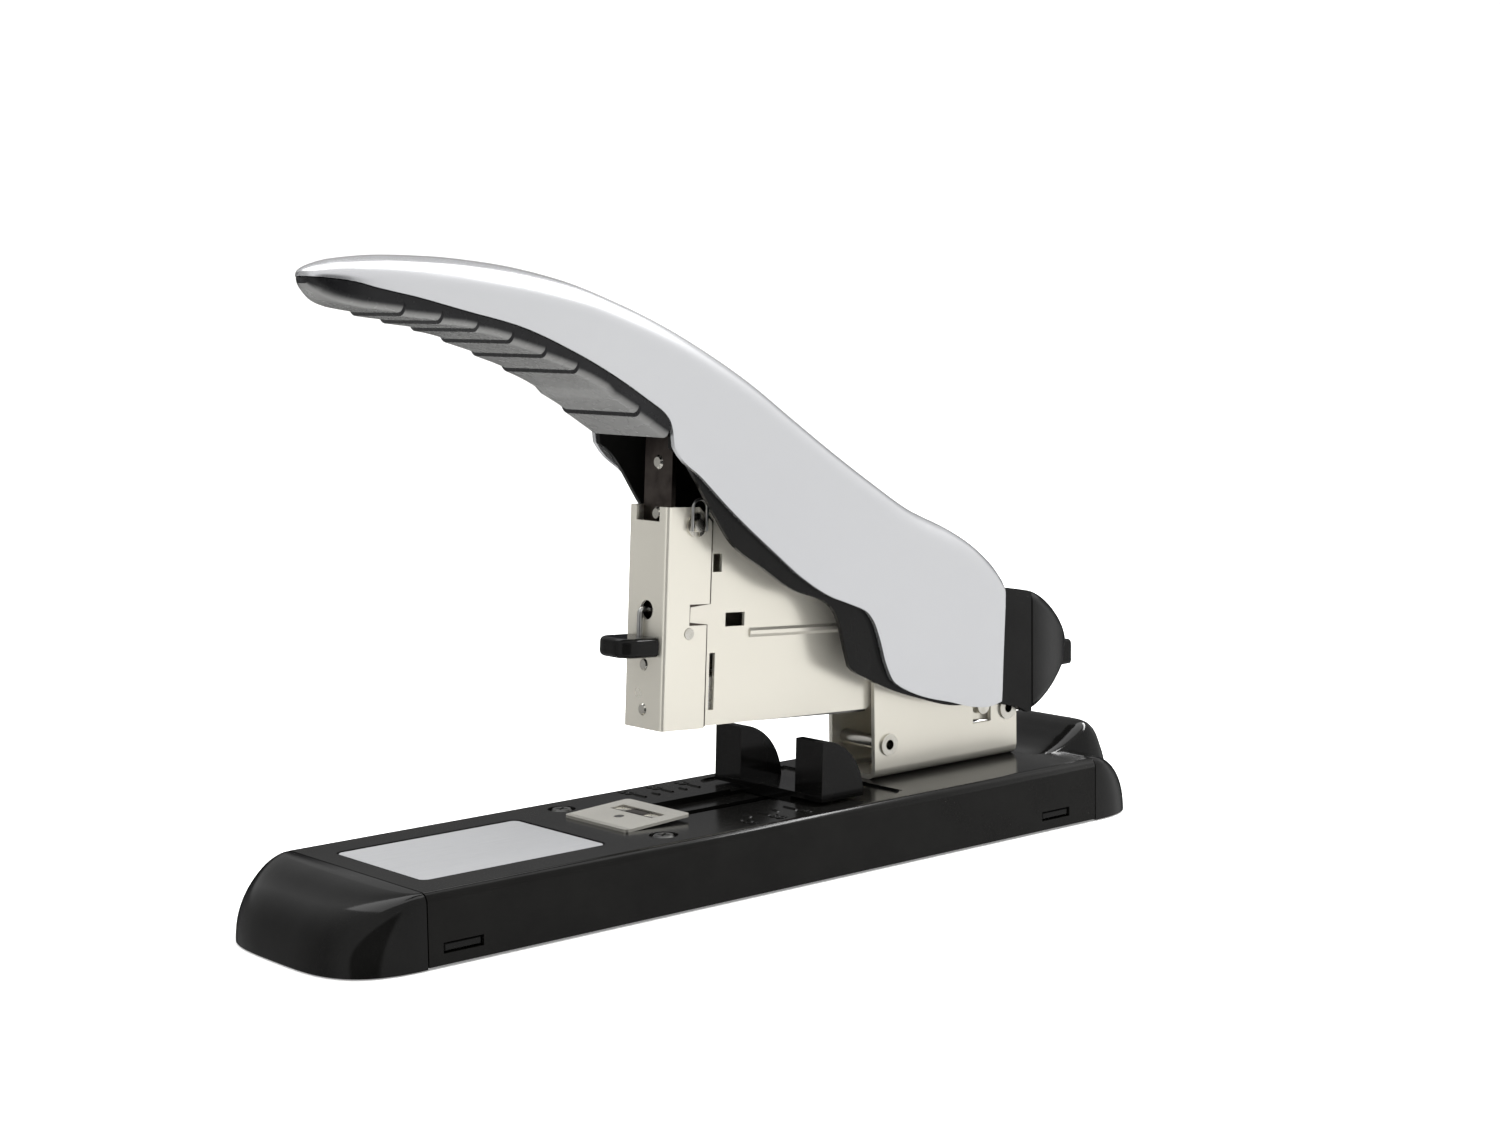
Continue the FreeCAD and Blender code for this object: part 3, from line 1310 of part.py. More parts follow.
def seam_curves():
    """The shell's lower edge: grip, a round corner, the flank, the step and the foot."""
    corner = arc(SEAM_GRIP[-1], (-30.6, 128.8), SEAM_FLANK[0])
    step = line(SEAM_FLANK[-1], SEAM_FOOT[0])
    return [smooth_curve(SEAM_GRIP), corner, smooth_curve(SEAM_FLANK), step,
            smooth_curve(SEAM_FOOT)]


def make_handle_shell():
    body = new_body("handle_shell")
    front, rear = size("handle_front"), size("handle_rear")
    handle_loft(body, "Additive", 0.0, stations_between(front, rear, 20, 1.5), 25.0)
    doc.recompute()
    inner = stations_between(front + 3.0, rear + 0.5, 20, 1.5)
    handle_loft(body, "Subtractive", size("shell_wall"), inner, 24.0)
    cut_below(body, seam_curves(), -140.0, 110.0)


def make_handle_liner():
    """The black inner channel, seen below the shell's flank and inside the handle."""
    body = new_body("handle_liner")
    gap = size("shell_wall") + 0.3
    front, rear = size("grip_rear") + 1.5, size("handle_rear")
    handle_loft(body, "Additive", gap, stations_between(front, rear, 12, 1.0), 25.0)
    doc.recompute()
    inner = stations_between(front - 0.5, rear + 0.5, 12, 1.0)
    handle_loft(body, "Subtractive", gap + size("liner_wall"), inner, 24.0)
    edge = [smooth_curve(LINER_FLANK), line(LINER_FLANK[-1], LINER_FOOT[0]),
            smooth_curve(LINER_FOOT)]
    cut_below(body, edge, -140.0, 110.0)


def grip_underside_height(along):
    """Height of the ribbed underside: an arc through the nose, the middle and the rear."""
    sweep = Part.Arc(Vector(-120.2, 0, 161.8), Vector(-75.0, 0, 149.2),
                     Vector(-30.8, 0, 123.8)).toShape().Curve
    return sweep.Center.z + math.sqrt(sweep.Radius ** 2 - (along - sweep.Center.x) ** 2)


def seam_height(along):
    """Height of the shell's lower edge over the grip."""
    for (left, low), (right, high) in zip(SEAM_GRIP, SEAM_GRIP[1:]):
        if left <= along <= right:
            return low + (high - low) * (along - left) / (right - left)
    return SEAM_GRIP[-1][1]


def make_grip_underside():
    """The black grip moulding under the shell's front half, with ribs across its underside."""
    body = new_body("grip_underside")
    sections = []
    for index, along in enumerate(stations_between(-130.6, -33.6, 14, 1.5)):
        half_width = width_share(along) * size("handle_width") / 2 - 0.3
        high = seam_height(along) - 0.25
        low = grip_underside_height(max(along, -122.0))
        if along < -122.0:
            low = high - 1.2 - (high - 1.2 - low) * (along + 132.0) / 10.0
        corner = min(3.0, (high - low) * 0.6, half_width * 0.8)
        inner = half_width - corner
        section = sketch_on(body, "YZ_Plane", "Section%d" % index, str(along))
        draw(section, [
            line((-inner, low), (inner, low)),
            corner_arc((inner, low + corner), corner, -90, 0),
            line((half_width, low + corner), (half_width, high)),
            line((half_width, high), (-half_width, high)),
            line((-half_width, high), (-half_width, low + corner)),
            corner_arc((-inner, low + corner), corner, 180, 270),
        ])
        sections.append(section)
    loft = body.newObject("PartDesign::AdditiveLoft", "Grip")
    loft.Profile = sections[0]
    loft.Sections = sections[1:]
    loft.Ruled = True
    spigot = sketch_on(body, "XZ_Plane", "Spigot")
    front, rear = -110.0, -40.0
    polygon(spigot, [
        (str(front), str(seam_height(front) - 2)),
        (str(rear), str(seam_height(rear) - 2)),
        (str(rear), str(seam_height(rear) + 4)),
        (str(front), str(seam_height(front) + 4)),
    ])
    pad(body, spigot, "0.62 * Sizes.handle_width")
    ribs = sketch_on(body, "XZ_Plane", "RibGrooves")
    count = 9
    front = -120.2
    pitch = (size("grip_rear") - 6.0 - front) / count
    for index in range(count):
        start = front + index * pitch
        end = start + pitch
        deep = grip_underside_height(start) + 1.5
        draw(ribs, [
            line((start, deep), (end - 0.8, grip_underside_height(end - 0.8) - 0.02)),
            line((end - 0.8, grip_underside_height(end - 0.8) - 0.02),
                 (end - 0.8, grip_underside_height(end - 0.8) - 3.0)),
            line((end - 0.8, grip_underside_height(end - 0.8) - 3.0),
                 (start, grip_underside_height(start) - 3.0)),
            line((start, grip_underside_height(start) - 3.0), (start, deep)),
        ])
    pocket(body, ribs, "2 * Sizes.handle_width")


def make_handle_lever():
    """The steel lever inside the handle: an inverted U that pushes on the driver link."""
    body = new_body("handle_lever")
    pin = (size("handle_pin_place"), size("handle_pin_height"))
    nose = size("lever_nose")
    side_view = sketch_on(body, "XZ_Plane", "SideView")
    draw(side_view, [
        line((-26.0, nose), (0.0, nose)),
        line((0.0, nose), (18.0, 109.5)),
        line((18.0, 109.5), (52.0, 87.0)),
        line((52.0, 87.0), (80.0, 62.0)),
        line((80.0, 62.0), (pin[0] - 5.5, pin[1])),
        arc((pin[0] - 5.5, pin[1]), (pin[0], pin[1] - 5.5), (pin[0] + 5.5, pin[1])),
        line((pin[0] + 5.5, pin[1]), (90.0, 70.0)),
        line((90.0, 70.0), (58.0, 93.5)),
        line((58.0, 93.5), (20.0, 120.0)),
        line((20.0, 120.0), (-8.0, 138.0)),
        line((-8.0, 138.0), (-26.0, 139.0)),
        line((-26.0, 139.0), (-26.0, nose)),
    ])
    pad(body, side_view, "Sizes.lever_width")
    hollow = sketch_on(body, "XZ_Plane", "Hollow")
    polygon(hollow, [
        ("-25", "100"),
        ("0", "25"),
        ("110", "25"),
        ("110", "60"),
        ("90", "68.2"),
        ("57", "92.2"),
        ("19.5", "118.5"),
        ("-8.5", "136.6"),
        ("-25", "137.5"),
    ])
    pocket(body, hollow, "Sizes.lever_width - 2 * Sizes.lever_sheet")
    bore = sketch_on(body, "XZ_Plane", "PinBore")
    circle(bore, "Sizes.handle_pin_place", "Sizes.handle_pin_height",
           "Sizes.handle_pin_radius + Sizes.fit_gap")
    pocket(body, bore, "30")


def make_handle_pin():
    half = size("bracket_width") / 2 + 0.4
    start = Vector(size("handle_pin_place"), -half, size("handle_pin_height"))
    shape_piece("handle_pin", Part.makeCylinder(size("handle_pin_radius"), 2 * half, start,
                                                Vector(0, 1, 0)))


def make_return_springs():
    coil = coil_spring(3.9, 0.7, 4.0, 26.0)
    coil.translate(Vector(23.0, 0, 86.4))
    shape_piece("handle_spring", coil)
    torsion = coil_spring(3.9, 0.6, 1.9, 9.0)
    torsion.Placement = Placement(Vector(size("pivot_place"), 4.5, size("pivot_height")),
                                  Rotation(Vector(1, 0, 0), 90))
    shape_piece("head_spring", torsion)


make_base_channel()
make_front_cap()
make_rear_cap()
make_label_plate()
make_bottom_cover()
make_rubber_feet()
make_base_screws()
make_anvil()
make_pivot_bracket()
make_bracket_pins()
make_bracket_rivets()
make_paper_guide()
make_guide_retainer()
make_front_sleeve()
make_magazine_frame()
make_magazine_core()
make_core_rivets()
make_staple_strip()
make_sleeve_rivets()
make_blade_guide()
make_side_pins()
make_rear_housing()
make_driver()
make_release_lever()
make_loader()
make_pusher()
make_latch_button()
make_handle_shell()
make_handle_liner()
make_grip_underside()
make_handle_lever()
make_handle_pin()
make_return_springs()

doc.recompute()
for item in doc.Objects:
    if "Invalid" in item.State or "Error" in item.State:
        raise RuntimeError("failed feature: %s in %s" % (item.Name, item.Label))
os.makedirs("parts", exist_ok=True)
for piece in finished:
    if piece.Shape.isNull() or not piece.Shape.isValid():
        raise RuntimeError("bad shape: " + piece.Label)
    piece.Shape.exportStep(os.path.join("parts", piece.Label + ".step"))
    print(piece.Label, len(piece.Shape.Solids), round(piece.Shape.Volume, 1))
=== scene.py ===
import json
import math

import bmesh
import bpy
from mathutils import Matrix, Vector


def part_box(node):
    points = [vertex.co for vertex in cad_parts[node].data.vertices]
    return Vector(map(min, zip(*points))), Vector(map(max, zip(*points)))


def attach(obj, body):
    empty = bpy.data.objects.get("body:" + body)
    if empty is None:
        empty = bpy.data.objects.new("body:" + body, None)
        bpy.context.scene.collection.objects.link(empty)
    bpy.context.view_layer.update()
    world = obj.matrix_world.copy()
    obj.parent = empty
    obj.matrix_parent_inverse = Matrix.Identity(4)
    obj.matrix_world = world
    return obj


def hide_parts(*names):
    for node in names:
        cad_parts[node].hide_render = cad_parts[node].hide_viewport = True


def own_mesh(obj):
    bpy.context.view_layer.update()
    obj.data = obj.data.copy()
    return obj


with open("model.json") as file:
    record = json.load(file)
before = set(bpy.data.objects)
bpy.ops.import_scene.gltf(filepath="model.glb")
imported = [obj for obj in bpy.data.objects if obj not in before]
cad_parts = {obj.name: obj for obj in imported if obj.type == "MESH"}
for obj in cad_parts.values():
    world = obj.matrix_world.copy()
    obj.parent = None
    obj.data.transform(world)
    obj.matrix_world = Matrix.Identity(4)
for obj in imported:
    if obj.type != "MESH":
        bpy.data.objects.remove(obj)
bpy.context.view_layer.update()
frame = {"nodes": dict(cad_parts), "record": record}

MM = 0.001
NODES = frame["nodes"]
SLOTS = {part["node"]: part["material_slot"] for part in frame["record"]["subparts"]}

# The head leans by this many degrees about this X and Z, in millimetres.
HEAD_LEAN = 3.5
HEAD_PIVOT = (106.5, 34.2)

# The camera's aim in degrees, its place in millimetres and its lens.
CAMERA_YAW = 49.5
CAMERA_PITCH = 6.645
CAMERA_ROLL = -0.815
CAMERA_PLACE = (-455.66, -547.26, 170.39)
FOCAL_LENGTH = 61.04
SENSOR_WIDTH = 36.0


def low(node):
    """A CAD node's lowest corner, in millimetres."""
    return Vector(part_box(node)[0]) / MM


def high(node):
    """A CAD node's highest corner, in millimetres."""
    return Vector(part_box(node)[1]) / MM


# ---------------------------------------------------------------- materials


class Shader:
    """A principled material with small helpers for its procedural detail."""

    def __init__(self, name):
        self.material = bpy.data.materials.new(name)
        self.material.use_nodes = True
        self.nodes = self.material.node_tree.nodes
        self.links = self.material.node_tree.links
        self.surface = self.nodes["Principled BSDF"]
        self.place = self.nodes.new("ShaderNodeTexCoord").outputs["Object"]

    def set(self, **values):
        """Sets inputs of the surface, with underscores for the spaces in their names."""
        for socket, value in values.items():
            self.surface.inputs[socket.replace("_", " ")].default_value = value

    def stretched(self, stretch):
        """Object coordinates in metres, multiplied by a different number along each axis."""
        mapping = self.nodes.new("ShaderNodeMapping")
        mapping.inputs["Scale"].default_value = stretch
        self.links.new(self.place, mapping.inputs["Vector"])
        return mapping.outputs["Vector"]

    def noise(self, stretch, detail=4.0, roughness=0.55):
        """A cloudy pattern, as a number socket."""
        texture = self.nodes.new("ShaderNodeTexNoise")
        texture.inputs["Scale"].default_value = 1.0
        texture.inputs["Detail"].default_value = detail
        texture.inputs["Roughness"].default_value = roughness
        self.links.new(self.stretched(stretch), texture.inputs["Vector"])
        return texture.outputs["Fac"]

    def cells(self, stretch):
        """A pebbled pattern, as a number socket."""
        texture = self.nodes.new("ShaderNodeTexVoronoi")
        texture.inputs["Scale"].default_value = 1.0
        self.links.new(self.stretched(stretch), texture.inputs["Vector"])
        return texture.outputs["Distance"]

    def ramp(self, source, first, second, start=0.35, end=0.65):
        """Turns a number into a colour between two, and returns the colour socket."""
        ramp = self.nodes.new("ShaderNodeValToRGB")
        ramp.color_ramp.elements[0].position = start
        ramp.color_ramp.elements[0].color = (*first, 1.0)
        ramp.color_ramp.elements[1].position = end
        ramp.color_ramp.elements[1].color = (*second, 1.0)
        self.links.new(source, ramp.inputs["Fac"])
        return ramp.outputs["Color"]

    def span(self, source, smallest, largest):
        """Maps a noise onto a range, and returns the number socket."""
        span = self.nodes.new("ShaderNodeMapRange")
        span.inputs["To Min"].default_value = smallest
        span.inputs["To Max"].default_value = largest
        self.links.new(source, span.inputs["Value"])
        return span.outputs["Result"]

    def colour(self, source, first, second, start=0.35, end=0.65):
        """Colours the surface between two colours."""
        self.links.new(self.ramp(source, first, second, start, end),
                       self.surface.inputs["Base Color"])

    def roughness(self, source, smallest, largest):
        """Varies the surface's roughness over a range."""
        self.links.new(self.span(source, smallest, largest), self.surface.inputs["Roughness"])

    def bump(self, *layers):
        """Stacks height layers, each given as (source, strength, distance in millimetres)."""
        normal = None
        for source, strength, distance in layers:
            bump = self.nodes.new("ShaderNodeBump")
            bump.inputs["Strength"].default_value = strength
            bump.inputs["Distance"].default_value = distance * MM
            self.links.new(source, bump.inputs["Height"])
            if normal is not None:
                self.links.new(normal, bump.inputs["Normal"])
            normal = bump.outputs["Normal"]
        self.links.new(normal, self.surface.inputs["Normal"])


def black_enamel():
    """Glossy black paint on steel, with a faint orange-peel and a slow drift of gloss."""
    shader = Shader("black_enamel")
    shader.set(Metallic=0.0, Specular_IOR_Level=0.11)
    shader.colour(shader.noise((60, 60, 60)), (0.0048, 0.0046, 0.0042), (0.007, 0.0068, 0.0062))
    shader.roughness(shader.noise((35, 35, 35), 6), 0.14, 0.22)
    shader.bump((shader.noise((900, 900, 900), 2), 0.04, 0.01))
    return shader.material


def gloss_black_plastic(name, peel=0.015):
    """Polished black moulding with soft flow marks under the gloss."""
    shader = Shader(name)
    shader.set(Metallic=0.0, Specular_IOR_Level=0.15)
    shader.colour(shader.noise((45, 90, 45)), (0.0045, 0.0044, 0.0042), (0.007, 0.0069, 0.0066))
    shader.roughness(shader.noise((80, 80, 80), 6), 0.07, 0.13)
    shader.bump((shader.noise((260, 260, 260), 2), peel, 0.05))
    return shader.material


def satin_black_plastic():
    """Fine-textured black moulding for parts that are gripped or hidden."""
    shader = Shader("satin_black_plastic")
    shader.set(Metallic=0.0, Specular_IOR_Level=0.25)
    shader.colour(shader.noise((120, 120, 120)), (0.008, 0.008, 0.0085), (0.015, 0.015, 0.016))
    shader.roughness(shader.noise((200, 200, 200), 5), 0.22, 0.34)
    shader.bump((shader.cells((2600, 2600, 2600)), 0.14, 0.01),
                (shader.noise((400, 400, 400), 3), 0.06, 0.02))
    return shader.material


def ribbed_plastic():
    """Black moulding, finely grained, with a painted sheen: faces that point down are coloured a
    paler grey, standing in for the light they catch at that angle.
    """
    shader = Shader("ribbed_plastic")
    shader.set(Metallic=0.0, Specular_IOR_Level=0.25)
    # Painted sheen: the colour turns from black to pale grey as the face's normal points down.
    geometry = shader.nodes.new("ShaderNodeNewGeometry")
    separate = shader.nodes.new("ShaderNodeSeparateXYZ")
    shader.links.new(geometry.outputs["Normal"], separate.inputs["Vector"])
    painted_sheen_mask = shader.nodes.new("ShaderNodeMapRange")
    painted_sheen_mask.interpolation_type = "SMOOTHSTEP"
    painted_sheen_mask.inputs["From Min"].default_value = -0.3
    painted_sheen_mask.inputs["From Max"].default_value = -0.8
    shader.links.new(separate.outputs["Z"], painted_sheen_mask.inputs["Value"])
    mix = shader.nodes.new("ShaderNodeMix")
    mix.data_type = "RGBA"
    shader.links.new(painted_sheen_mask.outputs["Result"], mix.inputs["Factor"])
    black = shader.ramp(shader.noise((90, 90, 90)), (0.007, 0.007, 0.0075), (0.011, 0.011, 0.012))
    grey = shader.ramp(shader.noise((60, 60, 60)), (0.16, 0.16, 0.157), (0.18, 0.18, 0.177))
    shader.links.new(black, mix.inputs["A"])
    shader.links.new(grey, mix.inputs["B"])
    shader.links.new(mix.outputs["Result"], shader.surface.inputs["Base Color"])
    shader.roughness(shader.noise((200, 200, 200), 5), 0.22, 0.32)
    shader.bump((shader.noise((900, 900, 900), 3), 0.03, 0.008))
    return shader.material


def black_rubber():
    """Dull black rubber with a fine grain."""
    shader = Shader("black_rubber")
    shader.set(Metallic=0.0, Specular_IOR_Level=0.3)
    shader.colour(shader.noise((400, 400, 400)), (0.012, 0.012, 0.012), (0.03, 0.03, 0.03))
    shader.roughness(shader.noise((300, 300, 300)), 0.6, 0.85)
    shader.bump((shader.noise((3000, 3000, 3000)), 0.3, 0.03))
    return shader.material


def silver_paint():
    """Satin silver paint: a slow drift of tone and gloss under a thin clear layer."""
    shader = Shader("silver_paint")
    shader.set(Metallic=0.85, Coat_Weight=0.3, Coat_Roughness=0.1)
    shader.colour(shader.noise((14, 14, 14), 3), (0.63, 0.635, 0.65), (0.67, 0.675, 0.69), 0.0, 1.0)
    shader.roughness(shader.noise((40, 40, 40), 2), 0.25, 0.28)
    shader.bump((shader.noise((120, 120, 120), 2), 0.01, 0.02))
    return shader.material


def nickel_plate(name="nickel_plate", first=(0.82, 0.785, 0.69), second=(0.85, 0.82, 0.73),
                 smallest=0.22, largest=0.3, grain=(25, 3000, 3000)):
    """Nickel plating over rolled sheet: a warm tone that drifts a little, and rolling lines."""
    shader = Shader(name)
    shader.set(Metallic=0.65, Specular_IOR_Level=0.4)
    shader.colour(shader.noise((22, 22, 22), 2), first, second, 0.0, 1.0)
    shader.roughness(shader.noise((25, 40, 40), 2), smallest, largest)
    shader.bump((shader.noise(grain, 3), 0.006, 0.002))
    return shader.material


def steel(name, first, second, smallest=0.22, largest=0.4, grain=(2500, 60, 2500)):
    """Bare or zinc-plated steel with drawn lines along one axis."""
    shader = Shader(name)
    shader.set(Metallic=1.0)
    shader.colour(shader.noise((180, 180, 180), 6), first, second)
    shader.roughness(shader.noise((500, 500, 500), 5), smallest, largest)
    shader.bump((shader.noise(grain, 3), 0.12, 0.008))
    return shader.material


def label_panel():
    """A blank silver panel with a fine grain along its length."""
    shader = Shader("label_panel")
    shader.set(Metallic=0.15, Specular_IOR_Level=0.3)
    grain = shader.noise((60, 4000, 60), 3)
    shader.colour(grain, (0.42, 0.425, 0.435), (0.46, 0.465, 0.475))
    shader.roughness(shader.noise((300, 300, 300), 4), 0.28, 0.4)
    shader.bump((grain, 0.05, 0.004))
    return shader.material


def make_materials():
    """One material for each of the record's slots."""
    rivet = ((0.60, 0.58, 0.52), (0.74, 0.72, 0.66))
    return {
        "base_steel": black_enamel(),
        "base_plastic": gloss_black_plastic("cap_plastic"),
        "cover_plastic": satin_black_plastic(),
        "label": label_panel(),
        "rubber": black_rubber(),
        "screw_steel": steel("zinc_screws", (0.13, 0.13, 0.13), (0.22, 0.22, 0.21)),
        "anvil_steel": nickel_plate("anvil_nickel", (0.70, 0.68, 0.61), (0.74, 0.72, 0.65),
                                    0.1, 0.16, (3000, 30, 3000)),
        "nickel": nickel_plate(),
        "rivet_steel": steel("rivet_steel", *rivet, 0.16, 0.3, (1500, 1500, 1500)),
        "inner_steel": steel("inner_steel", (0.10, 0.10, 0.095), (0.17, 0.165, 0.16)),
        "staple_wire": steel("staple_wire", (0.55, 0.55, 0.54), (0.75, 0.75, 0.73), 0.2, 0.35,
                             (1100, 20, 20)),
        "spring_steel": steel("spring_steel", (0.42, 0.42, 0.41), (0.62, 0.62, 0.60)),
        "driver_steel": steel("driver_steel", (0.055, 0.045, 0.04), (0.10, 0.085, 0.075),
                              0.3, 0.45, (60, 2500, 60)),
        "guide_plastic": gloss_black_plastic("guide_plastic", 0.03),
        "housing_plastic": gloss_black_plastic("housing_plastic"),
        "silver_shell": silver_paint(),
        "liner_plastic": gloss_black_plastic("liner_plastic", 0.03),
        "grip_plastic": ribbed_plastic(),
    }


# ---------------------------------------------------------------- mesh helpers


def add_piece(name, mesh, body, slot, replaced=(), angle=35):
    """Links a mesh as a piece of the object, with its material and its body, and hides the CAD nodes
    it stands for.
    """
    mesh.update()
    piece = bpy.data.objects.new(name, mesh)
    bpy.context.scene.collection.objects.link(piece)
    mesh.polygons.foreach_set("use_smooth", [True] * len(mesh.polygons))
    mesh.set_sharp_from_angle(angle=math.radians(angle))
    mesh.materials.append(MATERIALS[slot])
    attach(piece, body)
    if replaced:
        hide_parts(*replaced)
    return piece


def soften(piece, width, segments=2, angle=35):
    """Rounds a piece's sharp edges by a width in millimetres."""
    bevel = piece.modifiers.new("SoftEdges", "BEVEL")
    bevel.width = width * MM
    bevel.segments = segments
    bevel.limit_method = "ANGLE"
    bevel.angle_limit = math.radians(angle)
    bevel.harden_normals = True
    bevel.use_clamp_overlap = True


def cleaned_mesh(name, points, faces):
    """A mesh from points in millimetres, with doubled points joined and normals outward."""
    mesh = bpy.data.meshes.new(name)
    mesh.from_pydata([Vector(point) * MM for point in points], [], faces)
    work = bmesh.new()
    work.from_mesh(mesh)
    bmesh.ops.remove_doubles(work, verts=work.verts, dist=0.004 * MM)
    bmesh.ops.dissolve_degenerate(work, edges=work.edges, dist=0.002 * MM)
    bmesh.ops.recalc_face_normals(work, faces=work.faces)
    work.to_mesh(mesh)
    work.free()
    return mesh


def ring_skin(rings, ends="fill"):
    """Points and faces of a skin through closed rings of equal length."""
    count = len(rings[0])
    points = [point for ring in rings for point in ring]
    faces = []
    for index in range(len(rings) - 1):
        here, there = index * count, (index + 1) * count
        for step in range(count):
            after = (step + 1) % count
            faces.append((here + step, here + after, there + after, there + step))
    for start in (0, (len(rings) - 1) * count):
        if ends == "fill":
            faces.append(tuple(range(start, start + count)))
        elif ends == "wall":
            half = count // 2
            for step in range(half - 1):
                faces.append((start + step, start + step + 1,
                              start + count - 2 - step, start + count - 1 - step))
    return points, faces


def smooth_line(points):
    """A function giving height along X through points, without overshoot between them."""
    slopes = [(b[1] - a[1]) / (b[0] - a[0]) for a, b in zip(points, points[1:])]
    tangents = [slopes[0]]
    for before, after in zip(slopes, slopes[1:]):
        if before * after <= 0:
            tangents.append(0.0)
        else:
            tangents.append(2 * before * after / (before + after))
    tangents.append(slopes[-1])

    def height(along):
        along = min(max(along, points[0][0]), points[-1][0])
        index = 0
        while index < len(points) - 2 and along > points[index + 1][0]:
            index += 1
        (x0, z0), (x1, z1) = points[index], points[index + 1]
        span = x1 - x0
        share = (along - x0) / span
        inverse = 1 - share
        return (z0 * (1 + 2 * share) * inverse ** 2 + span * tangents[index] * share * inverse ** 2
                + z1 * share ** 2 * (3 - 2 * share)
                - span * tangents[index + 1] * share ** 2 * inverse)

    return height


def spaced(start, end, step):
    """Evenly spaced numbers from start to end, both included, about step apart."""
    count = max(1, round((end - start) / step))
    return [start + (end - start) * index / count for index in range(count + 1)]


def rectangle(left, right, bottom, top):
    """The four corners of a rectangle, in order round it."""
    return [(left, bottom), (right, bottom), (right, top), (left, top)]


def slab(x_span, y_span, z_span):
    """Two rings round a flat block, ready for a skin."""
    return [[(x, y, z) for x, y in rectangle(*x_span, *y_span)] for z in z_span]


# ---------------------------------------------------------------- handle

# Lines of the handle in the side view: millimetres behind the nose, and above the table.
CROWN = [(0.0, 170.7), (1.2, 171.6), (4.0, 172.7), (9.9, 173.9), (21.9, 174.6), (34.9, 174.2),
         (52.9, 172.4), (71.9, 168.6), (90.9, 162.1), (104.9, 156.1), (118.9, 148.9),
         (132.9, 140.7), (146.9, 131.1), (161.9, 120.9), (177.9, 110.6), (193.9, 101.0),
         (201.9, 97.4), (209.9, 94.0), (218.9, 89.1), (226.9, 83.0), (230.5, 79.0)]
SEAM = [(0.0, 169.6), (3.5, 169.2), (9.3, 168.2), (15.3, 166.4), (24.9, 164.0), (37.2, 160.5),
        (53.3, 156.1), (70.7, 148.7), (83.8, 141.8), (94.9, 134.9), (98.4, 132.6),
        (100.9, 129.9), (101.9, 126.7), (102.3, 122.6), (111.9, 113.5), (122.9, 103.2),
        (137.9, 90.8), (147.9, 83.0), (157.9, 77.1), (165.9, 74.0), (171.9, 71.4),
        (174.9, 68.1), (177.3, 62.5), (179.5, 55.5), (182.6, 49.8), (187.5, 46.7),
        (195.9, 43.4), (205.9, 40.8), (215.4, 38.2), (221.9, 37.4), (228.2, 38.3),
        (228.7, 47.6), (230.5, 75.9)]
LINER_EDGE = [(102.0, 122.4), (105.9, 119.7), (116.9, 103.7), (123.9, 94.2), (134.9, 86.7),
              (145.9, 79.7), (156.9, 75.7), (160.9, 72.7), (162.9, 68.7), (164.9, 61.7),
              (166.0, 56.6), (168.9, 53.7), (172.9, 51.7), (183.9, 46.7), (192.9, 43.6),
              (209.9, 39.1), (224.0, 38.2)]
RIB_LINE = [(0.6, 167.8), (2.0, 166.3), (4.0, 164.7), (7.0, 163.1), (11.9, 161.7), (22.9, 159.0),
            (44.1, 154.2), (54.2, 150.6), (74.4, 141.8), (83.4, 136.4), (92.2, 130.5),
            (101.3, 123.8)]
# Stretches where those lines turn quickly: start, end and spacing of the sections.
FINE_STRETCHES = [(0.0, 9.0, 0.35), (98.0, 103.0, 0.25), (170.0, 184.0, 0.6), (227.0, 230.5, 0.3)]
# How far the nose tapers, and where and over what length the rear end draws in.
NOSE_ROUND = 80.0
REAR_TAPER_START = 215.9
REAR_TAPER_LENGTH = 14.6
SHELL_WALL = 1.4
# An inset square to the sloping crown reaches this much deeper straight down.
SLOPE_FACTOR = 1.15
RIB_COUNT = 9
RIB_START = 11.9
RIB_DEPTH = 0.95
RIB_PITCH = (RIB_LINE[-1][0] - RIB_START) / RIB_COUNT


def handle_half_width(behind):
    """Half width of the shell at a distance behind the nose."""
    nose_power, nose_fullness = 2.33, 0.447
    rear_loss = 0.03
    paint_thickness = 0.15
    nose = min(max(behind / NOSE_ROUND, 0.0), 1.0)
    rear = min(max((behind - REAR_TAPER_START) / REAR_TAPER_LENGTH, 0.0), 1.0)
    full = high("handle_shell").y
    taper = (1 - (1 - nose) ** nose_power) ** nose_fullness
    return full * taper * (1 - rear_loss * rear ** 2) + paint_thickness


def arch(half_width, crown, edge):
    """An arched section from its left lower edge over the top to its right lower edge."""
    corner = 0.45 * half_width
    top_radius = 2.2 * half_width
    hub = half_width - corner
    top_centre = crown - top_radius
    rise = math.sqrt((top_radius - corner) ** 2 - hub ** 2)
    corner_height = top_centre + rise
    turn = math.atan2(hub, rise)
    side = []
    for share in spaced(0.0, 1.0, 0.1):
        angle = turn * share
        side.append((top_radius * math.sin(angle), top_centre + top_radius * math.cos(angle)))
    for share in spaced(0.0, 1.0, 0.07)[1:]:
        angle = turn + (math.pi / 2 - turn) * share
        side.append((hub + corner * math.sin(angle), corner_height + corner * math.cos(angle)))
    floor = min(edge, corner_height)
    for share in spaced(0.0, 1.0, 0.12)[1:]:
        side.append((half_width, corner_height + (floor - corner_height) * share))
    cut = []
    for (y0, z0), (y1, z1) in zip(side, side[1:]):
        if z1 < edge <= z0:
            share = (z0 - edge) / (z0 - z1)
            cut = [(y0 + (y1 - y0) * share, edge)]
            break
    kept = [place if place[1] >= edge or not cut else cut[0] for place in side]
    return [(-y, z) for y, z in reversed(kept)] + kept[1:]


